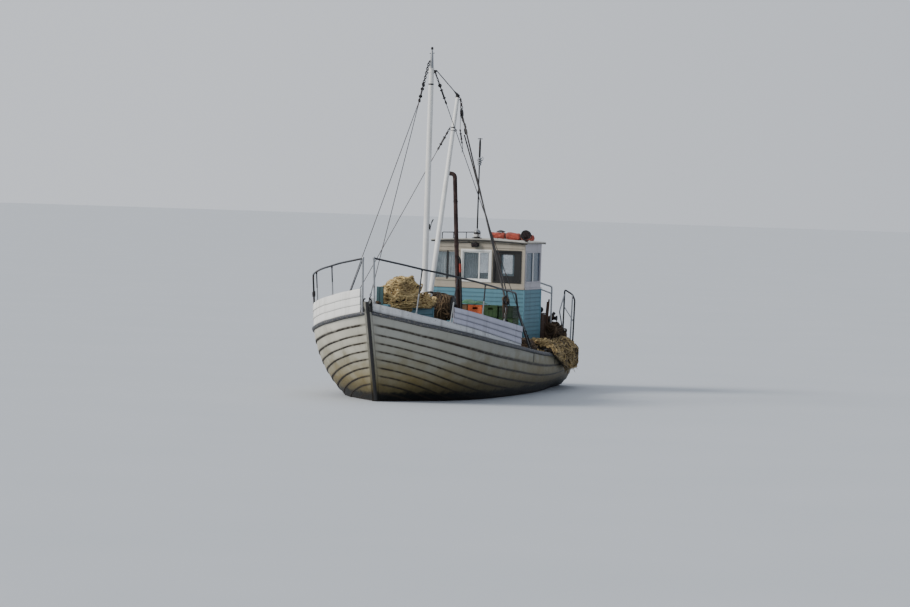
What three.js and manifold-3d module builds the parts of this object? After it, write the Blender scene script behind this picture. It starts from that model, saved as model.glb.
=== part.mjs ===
// A small wooden fishing trawler, lap planked, afloat at her moorings.
// Millimetres. +X points to the bow, +Y to port, +Z up. The origin is on the waterline, amidships.
import * as THREE from 'three';
import { mergeVertices } from 'three/addons/utils/BufferGeometryUtils.js';
import Module from 'manifold-3d';

const wasm = await Module();
wasm.setup();

// Driving dimensions
const STEM_X = 5600;            // where the planking meets the stem at the sheer
const PLANK_RUN = 11100;        // length of the planking along the sheer
// The planks' edges on each side, as shares of the way from the keel to the sheer
const EDGES = [0, 0.08, 0.16, 0.24, 0.315, 0.39, 0.46, 0.53, 0.6, 0.67, 0.74, 0.81, 0.89, 1];
const DECK_GIRTH = 0.923;       // where the deck's edge meets the topmost plank
const LAP = 22;                 // how far a plank's lower edge stands over the one below
const PLANK_WALL = 45;          // thickness of the topmost strake
const HALF_KEEL = 70;
const DECK_THICK = 40;
const DECK_RISE = 0.024;        // rise of the deck towards the middle, for each unit of breadth
const BULWARK_WALL = 40;
const BULWARK_FLARE = 0.07;     // how far the bulwark leans out for each unit of height
const BULWARK_TOP = 500;        // above the sheer
const RAIL_TOP = 1130;          // bow rail above the sheer
const RAIL_R = 21;
const POST_R = 15;
const FIT = 0.3;                // gap that touching pieces keep
const MAST_AFT = 4020;
const MAST_TOP = 7280;
const GOOSENECK = { aft: 4200, port: 75, up: 2100 };
const BOOM_LENGTH = 4950;
const BOOM_REST = 20;           // degrees from upright, leaning aft
const HOUSE = { front: -2760, rear: -4220, half: 1100, wall: 40, floor: 1400, eaves: 3380 };
const TRUNK = { front: 300, rear: -2700, half: 1050, top: 1420 };
const AFT_DECK_X = -5000;

// Hull lines. aft: along the sheer from the stem. half, sheer: half breadth and height there.
// keel: height of the planking's lower edge beside the keel.
const LINES = [
  { aft: 0, half: 60, sheer: 1960, keel: -620 },
  { aft: 50, half: 205, sheer: 1925, keel: -620 },
  { aft: 120, half: 380, sheer: 1890, keel: -621 },
  { aft: 300, half: 720, sheer: 1815, keel: -624 },
  { aft: 550, half: 1020, sheer: 1735, keel: -629 },
  { aft: 850, half: 1290, sheer: 1670, keel: -635 },
  { aft: 1200, half: 1530, sheer: 1595, keel: -641 },
  { aft: 1700, half: 1780, sheer: 1505, keel: -650 },
  { aft: 2300, half: 1930, sheer: 1415, keel: -662 },
  { aft: 3000, half: 2010, sheer: 1330, keel: -676 },
  { aft: 3900, half: 2045, sheer: 1240, keel: -690 },
  { aft: 4800, half: 2050, sheer: 1155, keel: -700 },
  { aft: 6000, half: 2040, sheer: 1040, keel: -690 },
  { aft: 7200, half: 2000, sheer: 945, keel: -630 },
  { aft: 8400, half: 1925, sheer: 890, keel: -500 },
  { aft: 9600, half: 1820, sheer: 865, keel: -330 },
  { aft: 10400, half: 1730, sheer: 865, keel: -270 },
  { aft: 11100, half: 1630, sheer: 880, keel: -220 },
];
// Section shape: the two inner handles of the curve from keel to sheer, as shares of breadth and height.
const SECTIONS = [
  { share: 0, outLow: 0.10, upLow: 0.20, outHigh: 0.60, upHigh: 0.62 },
  { share: 0.05, outLow: 0.25, upLow: 0.15, outHigh: 0.80, upHigh: 0.55 },
  { share: 0.15, outLow: 0.45, upLow: 0.12, outHigh: 0.97, upHigh: 0.48 },
  { share: 0.35, outLow: 0.65, upLow: 0.08, outHigh: 1.00, upHigh: 0.44 },
  { share: 0.60, outLow: 0.72, upLow: 0.06, outHigh: 1.00, upHigh: 0.43 },
  { share: 0.87, outLow: 0.75, upLow: 0.06, outHigh: 1.00, upHigh: 0.36 },
  { share: 1, outLow: 0.85, upLow: 0, outHigh: 1.00, upHigh: 0.28 },
];

// Materials
const paint = (color, roughness = 0.7) => new THREE.MeshStandardMaterial({ color, roughness, metalness: 0 });
const metal = (color, roughness = 0.5) => new THREE.MeshStandardMaterial({ color, roughness, metalness: 0.7 });
const MATERIAL = {
  white: paint(0xd8d5c8),
  greyWhite: paint(0xa9aeb2),
  blueGrey: paint(0x6f7884),
  blackTar: paint(0x2a2a28, 0.85),
  deckGrey: paint(0x7e7d74, 0.85),
  teal: paint(0x4f8494),
  beige: paint(0xb9b3a4),
  roofWhite: paint(0xc9c8c2),
  darkSteel: metal(0x3b3a3a),
  rust: metal(0x5a3a2c, 0.8),
  bronze: metal(0x8a6a3a, 0.4),
  steelTube: metal(0x8c9094),
  mastWhite: paint(0xe3e0d8),
  net: paint(0x9a8552, 0.95),
  darkNet: paint(0x4a3f33, 0.95),
  orange: paint(0xd0562c, 0.6),
  green: paint(0x3f6f35, 0.6),
  wood: paint(0x77583c, 0.8),
  glass: new THREE.MeshStandardMaterial({ color: 0x7d97a3, roughness: 0.1, metalness: 0, transparent: true, opacity: 0.35 }),
};

const trawler = new THREE.Group();

// Adds a named sub-part to the boat, or to a group of its own.
function add(name, geometry, material, parent = trawler) {
  const piece = new THREE.Mesh(geometry, material);
  piece.name = name;
  parent.add(piece);
  return piece;
}

// A place given as the drawing gives it: aft of the stem, out to port, up from the waterline.
const place = (aft, port, up) => new THREE.Vector3(STEM_X - aft, port, up);

// Value of a column at a place between two rows of a table
function between(table, key, at, column) {
  let row = 1;
  while (row < table.length - 1 && table[row][key] < at) row += 1;
  const low = table[row - 1];
  const high = table[row];
  const share = (at - low[key]) / (high[key] - low[key]);
  return low[column] + (high[column] - low[column]) * share;
}

// Solids
function toSolid(geometry) {
  const bare = geometry.clone();
  bare.deleteAttribute('normal');
  bare.deleteAttribute('uv');
  const merged = mergeVertices(bare, 0.001);
  const vertProperties = new Float32Array(merged.attributes.position.array);
  const triVerts = new Uint32Array(merged.index.array);
  return new wasm.Manifold(new wasm.Mesh({ numProp: 3, vertProperties, triVerts }));
}

function toGeometry(solid) {
  const mesh = solid.getMesh();
  const geometry = new THREE.BufferGeometry();
  geometry.setAttribute('position', new THREE.BufferAttribute(new Float32Array(mesh.vertProperties), 3));
  geometry.setIndex(new THREE.BufferAttribute(new Uint32Array(mesh.triVerts), 1));
  geometry.computeVertexNormals();
  return geometry;
}

const join = (geometries) => toGeometry(geometries.map(toSolid).reduce((all, one) => all.add(one)));
const cut = (geometry, tools) => toGeometry(tools.map(toSolid).reduce((all, one) => all.subtract(one), toSolid(geometry)));

// What is left of a piece once the crumbs that a cut leaves are dropped
function mainBody(geometry) {
  const bodies = toSolid(geometry).decompose();
  return toGeometry(bodies.reduce((most, one) => (one.volume() > most.volume() ? one : most)));
}

function box(x0, x1, y0, y1, z0, z1) {
  const geometry = new THREE.BoxGeometry(x1 - x0, y1 - y0, z1 - z0);
  return geometry.translate((x0 + x1) / 2, (y0 + y1) / 2, (z0 + z1) / 2);
}

function rod(from, to, radius, sides = 8, radiusEnd = radius) {
  const along = new THREE.Vector3().subVectors(to, from);
  const geometry = new THREE.CylinderGeometry(radiusEnd, radius, along.length(), sides);
  const turn = new THREE.Quaternion().setFromUnitVectors(new THREE.Vector3(0, 1, 0), along.clone().normalize());
  const middle = new THREE.Vector3().addVectors(from, to).multiplyScalar(0.5);
  return geometry.applyQuaternion(turn).translate(middle.x, middle.y, middle.z);
}

// A bent tube, mitred at each corner
function bentTube(points, radius, sides = 6) {
  const last = points.length - 1;
  const runs = points.slice(1).map((p, i) => p.clone().sub(points[i]).normalize());
  let across = new THREE.Vector3(0, 0, 1).cross(runs[0]);
  if (across.length() < 0.1) across = new THREE.Vector3(0, 1, 0);
  const rings = points.map((p, i) => {
    const before = runs[Math.max(0, i - 1)];
    const after = runs[Math.min(last - 1, i)];
    const facing = before.clone().add(after).normalize();
    const stretch = 1 / Math.max(0.4, facing.dot(before));
    across.addScaledVector(facing, -across.dot(facing)).normalize();
    const other = facing.clone().cross(across);
    const bend = after.clone().sub(before);
    const ring = [];
    for (let k = 0; k < sides; k += 1) {
      const turn = 2 * Math.PI * k / sides;
      const spoke = across.clone().multiplyScalar(Math.cos(turn)).addScaledVector(other, Math.sin(turn));
      const inBend = bend.length() > 1e-6 ? spoke.dot(bend.clone().normalize()) : 0;
      const widened = spoke.addScaledVector(bend.clone().normalize(), inBend * (stretch - 1));
      ring.push(p.clone().addScaledVector(widened, radius));
    }
    return ring;
  });
  return loft(rings, fanCap);
}

// An outline in the XZ plane, with an even thickness across the boat
function sidePlate(outline, halfThickness) {
  const shape = new THREE.Shape(outline.map(([x, z]) => new THREE.Vector2(x, z)));
  const geometry = new THREE.ExtrudeGeometry(shape, { depth: 2 * halfThickness, bevelEnabled: false });
  return geometry.rotateX(Math.PI / 2).translate(0, halfThickness, 0);
}

// Triangles that close a ring, in the ring's own sense. sectionCap is for uneven rings,
// fanCap for rings that have no hollows.
function sectionCap(ring) {
  const normal = new THREE.Vector3();
  ring.forEach((p, i) => normal.add(p.clone().cross(ring[(i + 1) % ring.length])));
  normal.normalize();
  const right = new THREE.Vector3(0, 0, 1).cross(normal).normalize();
  const up = normal.clone().cross(right);
  const flat = ring.map((p) => new THREE.Vector2(p.dot(right), p.dot(up)));
  const faces = THREE.ShapeUtils.triangulateShape(flat, []);
  const turned = faces.reduce((sum, [a, b, c]) => sum + THREE.ShapeUtils.area([flat[a], flat[b], flat[c]]), 0);
  return turned > 0 ? faces : faces.map(([a, b, c]) => [a, c, b]);
}

const fanCap = (ring) => ring.slice(2).map((p, i) => [0, i + 1, i + 2]);

// A closed skin over rings that have the same number of points
function loft(rings, capOf = sectionCap) {
  const count = rings[0].length;
  const position = rings.flat().flatMap((p) => [p.x, p.y, p.z]);
  const index = [];
  for (let r = 1; r < rings.length; r += 1) {
    for (let i = 0; i < count; i += 1) {
      const a = (r - 1) * count + i;
      const b = (r - 1) * count + (i + 1) % count;
      index.push(a, b, a + count, b, b + count, a + count);
    }
  }
  const offset = (rings.length - 1) * count;
  for (const [a, b, c] of capOf(rings[0])) index.push(a, c, b);
  for (const [a, b, c] of capOf(rings[rings.length - 1])) index.push(a + offset, b + offset, c + offset);
  const geometry = new THREE.BufferGeometry();
  geometry.setAttribute('position', new THREE.Float32BufferAttribute(position, 3));
  geometry.setIndex(index);
  if (volumeOf(geometry) < 0) {
    for (let i = 0; i < index.length; i += 3) [index[i + 1], index[i + 2]] = [index[i + 2], index[i + 1]];
    geometry.setIndex(index);
  }
  geometry.computeVertexNormals();
  return geometry;
}

// The same piece on the other side of the boat
function toStarboard(geometry) {
  const other = geometry.clone().scale(1, -1, 1);
  const index = Array.from(other.index.array);
  for (let i = 0; i < index.length; i += 3) [index[i + 1], index[i + 2]] = [index[i + 2], index[i + 1]];
  other.setIndex(index);
  other.computeVertexNormals();
  return other;
}

function addPair(name, geometry, material) {
  add(`${name}_port`, geometry, material);
  add(`${name}_starboard`, toStarboard(geometry), material);
}

function volumeOf(geometry) {
  const p = geometry.attributes.position;
  const index = geometry.index.array;
  const [a, b, c] = [new THREE.Vector3(), new THREE.Vector3(), new THREE.Vector3()];
  let sum = 0;
  for (let i = 0; i < index.length; i += 3) {
    a.fromBufferAttribute(p, index[i]);
    b.fromBufferAttribute(p, index[i + 1]);
    c.fromBufferAttribute(p, index[i + 2]);
    sum += a.dot(b.cross(c));
  }
  return sum / 6;
}

// The stem's profile: how far aft of the stem head the planking starts at a height
function stemAft(up) {
  const foot = -100;
  const rake = 0.392;
  if (up >= foot) return (1960 - up) * rake;
  return (1960 - foot) * rake + 1300 * ((foot - up) / 520) ** 1.8;
}

// One section of the planking, as points a plank can be measured along
const STERN = { low: 10950, high: 11100, foot: -100, head: 880 };
const sternAft = (up) => THREE.MathUtils.mapLinear(up, STERN.foot, STERN.head, STERN.low, STERN.high);
const SAMPLES = 60;
const sectionCache = new Map();
function sectionAt(share) {
  if (sectionCache.has(share)) return sectionCache.get(share);
  const aft = share * PLANK_RUN;
  const half = between(LINES, 'aft', aft, 'half');
  const sheer = between(LINES, 'aft', aft, 'sheer');
  const keel = between(LINES, 'aft', aft, 'keel');
  const inner = Math.min(HALF_KEEL, half);
  const handle = (column) => between(SECTIONS, 'share', share, column);
  const curve = new THREE.CubicBezierCurve(
    new THREE.Vector2(inner, keel),
    new THREE.Vector2(inner + handle('outLow') * (half - inner), keel + handle('upLow') * (sheer - keel)),
    new THREE.Vector2(inner + handle('outHigh') * (half - inner), keel + handle('upHigh') * (sheer - keel)),
    new THREE.Vector2(half, sheer),
  );
  curve.arcLengthDivisions = SAMPLES;
  sectionCache.set(share, curve);
  return curve;
}

// A point on the port side's planking. share: along the boat, girth: from keel (0) to sheer (1),
// proud: how far it stands out of the surface.
function skin(share, girth, proud = 0) {
  const curve = sectionAt(share);
  const at = curve.getPointAt(girth);
  const tangent = curve.getTangentAt(girth);
  const bow = stemAft(sectionAt(0).getPointAt(girth).y);
  const stern = sternAft(sectionAt(1).getPointAt(girth).y - proud * sectionAt(1).getTangentAt(girth).x);
  const aft = bow + share * (stern - bow);
  return place(aft, at.x + proud * tangent.y, at.y - proud * tangent.x);
}

// Unit vector from the planking towards the middle of the boat, level
function inwardAt(share, girth) {
  const step = 0.004;
  const from = skin(Math.max(0, share - step), girth);
  const to = skin(Math.min(1, share + step), girth);
  const run = to.sub(from).setZ(0).normalize();
  return new THREE.Vector3(-run.y, run.x, 0);
}

const mirrored = (points) => points.map((p) => new THREE.Vector3(p.x, -p.y, p.z)).reverse();
const SHARES = LINES.map((row) => row.aft / PLANK_RUN);
const lapAt = (share) => LAP * Math.min(1, Math.max(0.02, share * PLANK_RUN / 450));
const TOP_EDGE = EDGES[EDGES.length - 2];
const deckLap = (share) => lapAt(share) * (1 - DECK_GIRTH) / (1 - TOP_EDGE);

// Hull: the planked body up to the deck
function hullRing(share) {
  const port = [];
  for (let k = 0; EDGES[k] < TOP_EDGE; k += 1) {
    port.push(skin(share, EDGES[k], k === 0 ? 0 : lapAt(share)));
    port.push(skin(share, EDGES[k + 1]));
  }
  port.push(skin(share, TOP_EDGE, lapAt(share)));
  port.push(skin(share, DECK_GIRTH, deckLap(share)));
  const edge = port[port.length - 1];
  const middle = new THREE.Vector3(edge.x, 0, edge.z + DECK_RISE * edge.y);
  return [...port, middle, ...mirrored(port)];
}

const ENGINE = { x0: -3400, x1: -2050, half: 360, z0: -130, z1: 560 };
const RUDDER_AFT = 10150;
const hullBody = cut(loft(SHARES.map(hullRing)), [
  box(ENGINE.x0 - 40, ENGINE.x1 + 40, -ENGINE.half - 40, ENGINE.half + 40, ENGINE.z0 - 1, 900),
  rod(place(RUDDER_AFT, 0, -600), place(RUDDER_AFT, 0, 120), 34, 12),
]);
add('hull', hullBody, MATERIAL.white);
add('engine', box(ENGINE.x0, ENGINE.x1, -ENGINE.half, ENGINE.half, ENGINE.z0, ENGINE.z1), MATERIAL.darkSteel);

// Topmost strake, which stands above the deck. swell and lift make a solid to trim others with.
function strakeRing(share, swell, lift) {
  const inward = inwardAt(share, 1);
  const low = skin(share, DECK_GIRTH, deckLap(share)).addScaledVector(inward, -swell);
  const floor = low.z + FIT;
  const floorInner = floor + DECK_RISE * PLANK_WALL + 1;
  const top = skin(share, 1).addScaledVector(inward, -swell);
  top.z += lift;
  const topInner = top.clone().addScaledVector(inward, PLANK_WALL + swell);
  const lowInner = skin(share, DECK_GIRTH).addScaledVector(inwardAt(share, DECK_GIRTH), PLANK_WALL);
  return [low.setZ(floor), top, topInner, lowInner.setZ(floorInner)];
}
const strakeSolid = (swell, lift) => loft(SHARES.map((share) => strakeRing(share, swell, lift)));
addPair('sheer_strake', strakeSolid(0, 0), MATERIAL.white);

// Deck, laid inside the topmost strakes. drop: how far below its top the solid reaches.
function deckRing(share, drop, lift) {
  const outer = skin(share, DECK_GIRTH, deckLap(share));
  const edge = skin(share, DECK_GIRTH).addScaledVector(inwardAt(share, DECK_GIRTH), PLANK_WALL + 1);
  const top = outer.z + FIT + DECK_RISE * (outer.y - edge.y) + DECK_THICK + lift;
  const middle = DECK_RISE * edge.y;
  return [
    new THREE.Vector3(edge.x, edge.y, top),
    new THREE.Vector3(edge.x, 0, top + middle),
    new THREE.Vector3(edge.x, -edge.y, top),
    new THREE.Vector3(edge.x, -edge.y, top - drop),
    new THREE.Vector3(edge.x, 0, top + middle - drop),
    new THREE.Vector3(edge.x, edge.y, top - drop),
  ];
}
const DECK_SHARES = SHARES.slice(2);
add('deck', loft(DECK_SHARES.map((share) => deckRing(share, DECK_THICK, 0))), MATERIAL.deckGrey);
const underDeck = loft(DECK_SHARES.map((share) => deckRing(share, 1500, FIT)));
const standing = (geometry) => cut(geometry, [underDeck]);

// Transom: a flat board over the ends of the planks
function transomRing(shift) {
  const port = [];
  for (const edge of EDGES) port.push(skin(1, edge));
  const head = port[port.length - 1].z + 60;
  const crown = place(sternAft(head), 0, head);
  return [...port, crown, ...mirrored(port)].map((p) => new THREE.Vector3(p.x - shift, p.y, p.z));
}
add('transom', loft([transomRing(FIT), transomRing(60)]), MATERIAL.white);

// Stem and keel: flat timbers on the centreline
function stemOutline() {
  const rabbet = [];
  for (const edge of EDGES.slice().reverse()) {
    const p = skin(0, edge);
    rabbet.push([p.x + FIT, p.z - 0.5]);
  }
  const face = rabbet.map(([x, z]) => [x + (z > -300 ? 115 : 60), z - (z > -300 ? 0 : 150)]);
  const head = [[STEM_X + 75, 2160], [STEM_X + 190, 2160]];
  return [...rabbet.reverse(), ...head, ...face.slice(0, -1), [rabbet[0][0], rabbet[0][1] - 150]];
}
add('stem', sidePlate(stemOutline(), HALF_KEEL), MATERIAL.blackTar);

const SHAFT_Z = -830;
const SHOE_TOP = -1215;
const SHOE_BOTTOM = -1300;
const POST_AFT = 9450;
function keelOutline() {
  const top = [];
  for (const share of SHARES) {
    const p = skin(share, 0);
    if (p.x > STEM_X - POST_AFT) top.push([p.x - FIT, p.z - 0.5]);
  }
  const postX = STEM_X - POST_AFT;
  const postShare = (POST_AFT - stemAft(-620)) / (10950 - stemAft(-620));
  const shoeX = STEM_X - 10330;
  return [
    ...top,
    [postX, skin(postShare, 0).z - 0.5],
    [postX, SHOE_TOP],
    [shoeX, SHOE_TOP],
    [shoeX, SHOE_BOTTOM + 20],
    [postX, SHOE_BOTTOM],
    [top[0][0], top[0][1] - 150],
  ];
}
const TUBE_END = 9530;
const sternTube = rod(place(POST_AFT - 30, 0, SHAFT_Z), place(TUBE_END, 0, SHAFT_Z), 66, 14);
const shaftBore = rod(place(POST_AFT - 150, 0, SHAFT_Z), place(TUBE_END + 50, 0, SHAFT_Z), 34, 14);
const keelBody = cut(join([sidePlate(keelOutline(), HALF_KEEL), sternTube]), [shaftBore]);
add('keel', keelBody, MATERIAL.blackTar);

// Propeller with the end of its shaft
function blade(turn) {
  const outline = new THREE.Shape();
  outline.moveTo(-45, 30);
  outline.bezierCurveTo(-190, 140, -170, 330, -10, 350);
  outline.bezierCurveTo(130, 330, 110, 140, 45, 30);
  const geometry = new THREE.ExtrudeGeometry(outline, { depth: 16, bevelEnabled: false, curveSegments: 6 });
  geometry.translate(0, 0, -8);
  geometry.rotateY(0.6);
  geometry.applyMatrix4(new THREE.Matrix4().makeBasis(
    new THREE.Vector3(0, 1, 0), new THREE.Vector3(0, 0, 1), new THREE.Vector3(1, 0, 0)));
  return geometry.rotateX(turn);
}
function propeller() {
  const hub = new THREE.LatheGeometry([[0, -110], [60, -100], [62, 60], [24, 80], [24, 310], [0, 310]]
    .map(([r, along]) => new THREE.Vector2(r, along)), 16).rotateZ(-Math.PI / 2);
  const blades = [0, 1, 2, 3].map((i) => blade(i * Math.PI / 2 + 0.4));
  return join([hub, ...blades]);
}
const HUB_AFT = 9710;
const screw = add('propeller', propeller(), MATERIAL.bronze);
screw.position.copy(place(HUB_AFT, 0, SHAFT_Z));

// Rudder: a plate on a stock that enters the hull, standing over the keel's shoe
const rudderBlade = sidePlate([[-400, -360], [170, -360], [170, -1205], [-420, -1205], [-440, -800]], 26);
const rudderStock = rod(new THREE.Vector3(0, 0, -400), new THREE.Vector3(0, 0, 60), 27, 12);
const rudder = add('rudder', join([rudderBlade, rudderStock]), MATERIAL.blackTar);
rudder.position.x = STEM_X - RUDDER_AFT;

// Rub rail: a half round timber along the sheer
function rubRing(share) {
  const top = skin(share, 1);
  const low = skin(share, DECK_GIRTH, deckLap(share));
  const down = low.clone().sub(top).normalize();
  const out = inwardAt(share, 1).negate();
  const RAIL_HIGH = 92;
  const RAIL_PROUD = 58;
  const ring = [];
  for (let i = 0; i <= 6; i += 1) {
    const turn = Math.PI * i / 6;
    const along = RAIL_HIGH * (1 - Math.cos(turn)) / 2;
    ring.push(top.clone().addScaledVector(down, along + 1).addScaledVector(out, RAIL_PROUD * Math.sin(turn) - 4));
  }
  return ring;
}
const besideStem = sidePlate(stemOutline(), HALF_KEEL + FIT);
const rubRail = mainBody(cut(loft(SHARES.map(rubRing), fanCap), [strakeSolid(2 * FIT, 0), besideStem]));
addPair('rub_rail', rubRail, MATERIAL.blueGrey);

// Bulwarks: low walls of lapped planks on top of the sheer
function bulwarkRing(share, bottom, top, planks) {
  const foot = skin(share, 1);
  const out = inwardAt(share, 1).negate();
  const at = (up, proud) => foot.clone().addScaledVector(out, BULWARK_FLARE * up + proud).setZ(foot.z + up);
  const ring = [];
  const step = 16;
  for (let k = 0; k < planks; k += 1) {
    ring.push(at(bottom + (top - bottom) * k / planks, k === 0 ? 0 : step));
    ring.push(at(bottom + (top - bottom) * (k + 1) / planks, 0));
  }
  ring.push(at(top, -BULWARK_WALL), at(bottom, -BULWARK_WALL));
  return ring;
}
const bulwark = (rows, bottom, top, planks) => rows.map((row) => (
  bulwarkRing(row.aft / PLANK_RUN, bottom(row.aft), top(row.aft), planks)));
const reversed = (rings) => rings.map((ring) => ring.slice().reverse());
const BOW_ROWS = LINES.filter((row) => row.aft >= 50 && row.aft <= 4800);
const PORT_ROWS = [{ aft: 8 }, ...BOW_ROWS];
const PANEL_ROWS = LINES.filter((row) => row.aft >= 1200 && row.aft <= 4800);
const lowTop = (aft) => THREE.MathUtils.mapLinear(aft, 0, 4800, 180, 40);
const panelTop = (aft) => THREE.MathUtils.mapLinear(aft, 1200, 4800, 480, 440);
const fullTop = () => BULWARK_TOP;
const onSheer = () => FIT;
const onLow = (aft) => lowTop(aft) + FIT;
add('bulwark_starboard', toStarboard(loft(reversed(bulwark(BOW_ROWS, onSheer, fullTop, 3)))), MATERIAL.white);
add('bulwark_port_low', loft(reversed(bulwark(PORT_ROWS, onSheer, lowTop, 1))), MATERIAL.greyWhite);
add('bulwark_port_panel', loft(bulwark(PANEL_ROWS, onLow, panelTop, 3)), MATERIAL.greyWhite);

// Solids that a rail's feet are trimmed to, a little above the walls they stand on
const raised = (height) => (aft) => height(aft) + FIT;
const portWalls = [
  strakeSolid(0, FIT),
  loft(reversed(bulwark(PORT_ROWS, () => -100, raised(lowTop), 1))),
  loft(bulwark(PANEL_ROWS, () => 0, raised(panelTop), 3)),
];
const highWalls = [strakeSolid(0, FIT), loft(reversed(bulwark(BOW_ROWS, () => -100, raised(fullTop), 3)))];

// Places on top of a side: aft of the stem, a height over the sheer, and a side
function overSheer(aft, up, side, inset = 0) {
  const share = aft / PLANK_RUN;
  const foot = skin(share, 1);
  const out = inwardAt(share, 1).negate();
  const p = foot.clone().addScaledVector(out, BULWARK_FLARE * up - inset).setZ(foot.z + up);
  return new THREE.Vector3(p.x, side * p.y, p.z);
}
const CLEAR = 1;
const SUNK = 25;                // how far a post is drawn into the wall below, before it is trimmed
const WALL_MIDDLE = BULWARK_WALL / 2;

// Bow rails: a bent top tube on posts that stand on the bulwark. The one on port runs on to the
// sheer abaft the mast, the one on starboard ends ahead of it.
function bowRail(top, posts, walls) {
  const route = top.map(([aft, up]) => overSheer(aft, up, 1, WALL_MIDDLE));
  const tops = posts.map(({ foot, head, up }) => (
    rod(overSheer(foot, up - SUNK, 1, WALL_MIDDLE), overSheer(head, RAIL_TOP, 1, WALL_MIDDLE), POST_R, 6)));
  return cut(join([bentTube(route, RAIL_R), ...tops]), walls);
}
const level = (...places) => places.map((aft) => [aft, RAIL_TOP]);
const portTop = [[20, lowTop(20) - SUNK], ...level(5, 300, 550, 850, 1200, 1700, 2300, 3000, 3900, 4050),
  [4420, 700], [5650, -SUNK]];
const portPosts = [
  { foot: 460, head: 510, up: lowTop(460) },
  { foot: 1140, head: 1230, up: lowTop(1140) },
  { foot: 2130, head: 2130, up: panelTop(2130) },
  { foot: 3400, head: 3400, up: panelTop(3400) },
];
add('bow_rail_port', bowRail(portTop, portPosts, portWalls), MATERIAL.steelTube);
const highTop = [[35, 14], ...level(25, 300, 550, 850, 1200, 1640), [1750, BULWARK_TOP - SUNK]];
const highPosts = [500, 1230].map((aft) => ({ foot: aft, head: aft, up: BULWARK_TOP }));
add('bow_rail_starboard', toStarboard(bowRail(highTop, highPosts, highWalls)), MATERIAL.steelTube);

// Stern rails: a braced frame on each quarter
function sternRail(grow = 0) {
  const frame = bentTube([place(10860, 1400, 500), place(10900, 1410, 2290), place(10960, 1590, 2180),
    place(11000, 1640, 2050), overSheer(10960, -SUNK, 1, 22)], 20 + grow);
  const brace = rod(place(10960, 1590, 2170), overSheer(10450, -SUNK, 1, 22), 18 + grow, 6);
  const light = bentTube([place(10890, 1408, 2180), place(10520, 1400, 1785), place(10865, 1402, 1300)], 16 + grow);
  return cut(join([frame, brace, light]), [underDeck, strakeSolid(0, FIT)]);
}
addPair('stern_rail', sternRail(), MATERIAL.steelTube);

// Handrail behind the house, on port: two rails to a post on the deck
function aftHandrail() {
  const start = (up) => new THREE.Vector3(HOUSE.rear + 20, HOUSE.half - 35, up);
  const post = (up) => new THREE.Vector3(HOUSE.rear - 560, 1230, up);
  const rails = join([
    rod(post(400), post(2355), 20, 6),
    rod(start(2470), post(2335), 20, 6),
    rod(start(2320), post(2195), 17, 6),
  ]);
  return cut(rails, [underDeck, box(HOUSE.rear - FIT, HOUSE.rear + 100, 900, HOUSE.half + 100, 2000, 2700)]);
}
add('aft_handrail_port', aftHandrail(), MATERIAL.steelTube);

// Wheelhouse
const roofUnder = (y) => HOUSE.eaves + 40 - 45 * (y / 1170) ** 2;
function roofRing(x, half, low, high) {
  const columns = [-1, -0.66, -0.33, 0, 0.33, 0.66, 1];
  const bottom = columns.map((c) => new THREE.Vector3(x, c * half, roofUnder(c * half) + low));
  const top = columns.map((c) => new THREE.Vector3(x, c * half, roofUnder(c * half) + high)).reverse();
  return [...bottom, ...top];
}
const ROOF = { front: HOUSE.front + 75, rear: HOUSE.rear - 110, half: 1175 };
add('wheelhouse_roof', loft([roofRing(ROOF.rear, ROOF.half, 0, 48), roofRing(ROOF.front, ROOF.half, 0, 48)]), MATERIAL.roofWhite);
const overRoof = loft([roofRing(-5200, ROOF.half, -FIT, 800), roofRing(-1800, ROOF.half, -FIT, 800)]);

const FRONT_WINDOWS = [{ at: -780, width: 610 }, { at: -75, width: 660 }, { at: 675, width: 600 }];
const WINDOW = { sill: 2500, head: 3170 };
const SIDE_WINDOW = { x0: -4090, x1: -2880 };
const REAR_WINDOW = { y0: -420, y1: -190, sill: 2640, head: 3110 };
const DOOR = { y0: -30, y1: 610, sill: 1440, head: 3215 };
const DOOR_WINDOW = { y0: 170, y1: 410 };
const THROUGH = 100;

const houseWall = (geometry, holes) => cut(geometry, [underDeck, overRoof, ...holes]);
const inFront = (window, sill, head, grow = 0) => box(HOUSE.front - HOUSE.wall - THROUGH, HOUSE.front + THROUGH,
  window.at - window.width / 2 + grow, window.at + window.width / 2 - grow, sill + grow, head - grow);
const frontHoles = FRONT_WINDOWS.map((window) => inFront(window, WINDOW.sill, WINDOW.head));
add('wheelhouse_front', houseWall(box(HOUSE.front - HOUSE.wall, HOUSE.front, -HOUSE.half, HOUSE.half, 400, 3500), frontHoles), MATERIAL.beige);

function sideWall(side) {
  const outer = side * HOUSE.half;
  const inner = side * (HOUSE.half - HOUSE.wall);
  const [y0, y1] = [Math.min(outer, inner), Math.max(outer, inner)];
  const wall = box(HOUSE.rear + HOUSE.wall + FIT, HOUSE.front - HOUSE.wall - FIT, y0, y1, 400, 3500);
  return houseWall(wall, [box(SIDE_WINDOW.x0, SIDE_WINDOW.x1, y0 - THROUGH, y1 + THROUGH, WINDOW.sill, WINDOW.head)]);
}
add('wheelhouse_port', sideWall(1), MATERIAL.teal);
add('wheelhouse_starboard', sideWall(-1), MATERIAL.teal);

const rearX = [HOUSE.rear - THROUGH, HOUSE.rear + HOUSE.wall + THROUGH];
add('wheelhouse_rear', houseWall(box(HOUSE.rear, HOUSE.rear + HOUSE.wall, -HOUSE.half, HOUSE.half, 400, 3500), [
  box(...rearX, DOOR.y0, DOOR.y1, DOOR.sill, DOOR.head),
  box(...rearX, REAR_WINDOW.y0, REAR_WINDOW.y1, REAR_WINDOW.sill, REAR_WINDOW.head),
]), MATERIAL.teal);

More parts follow.
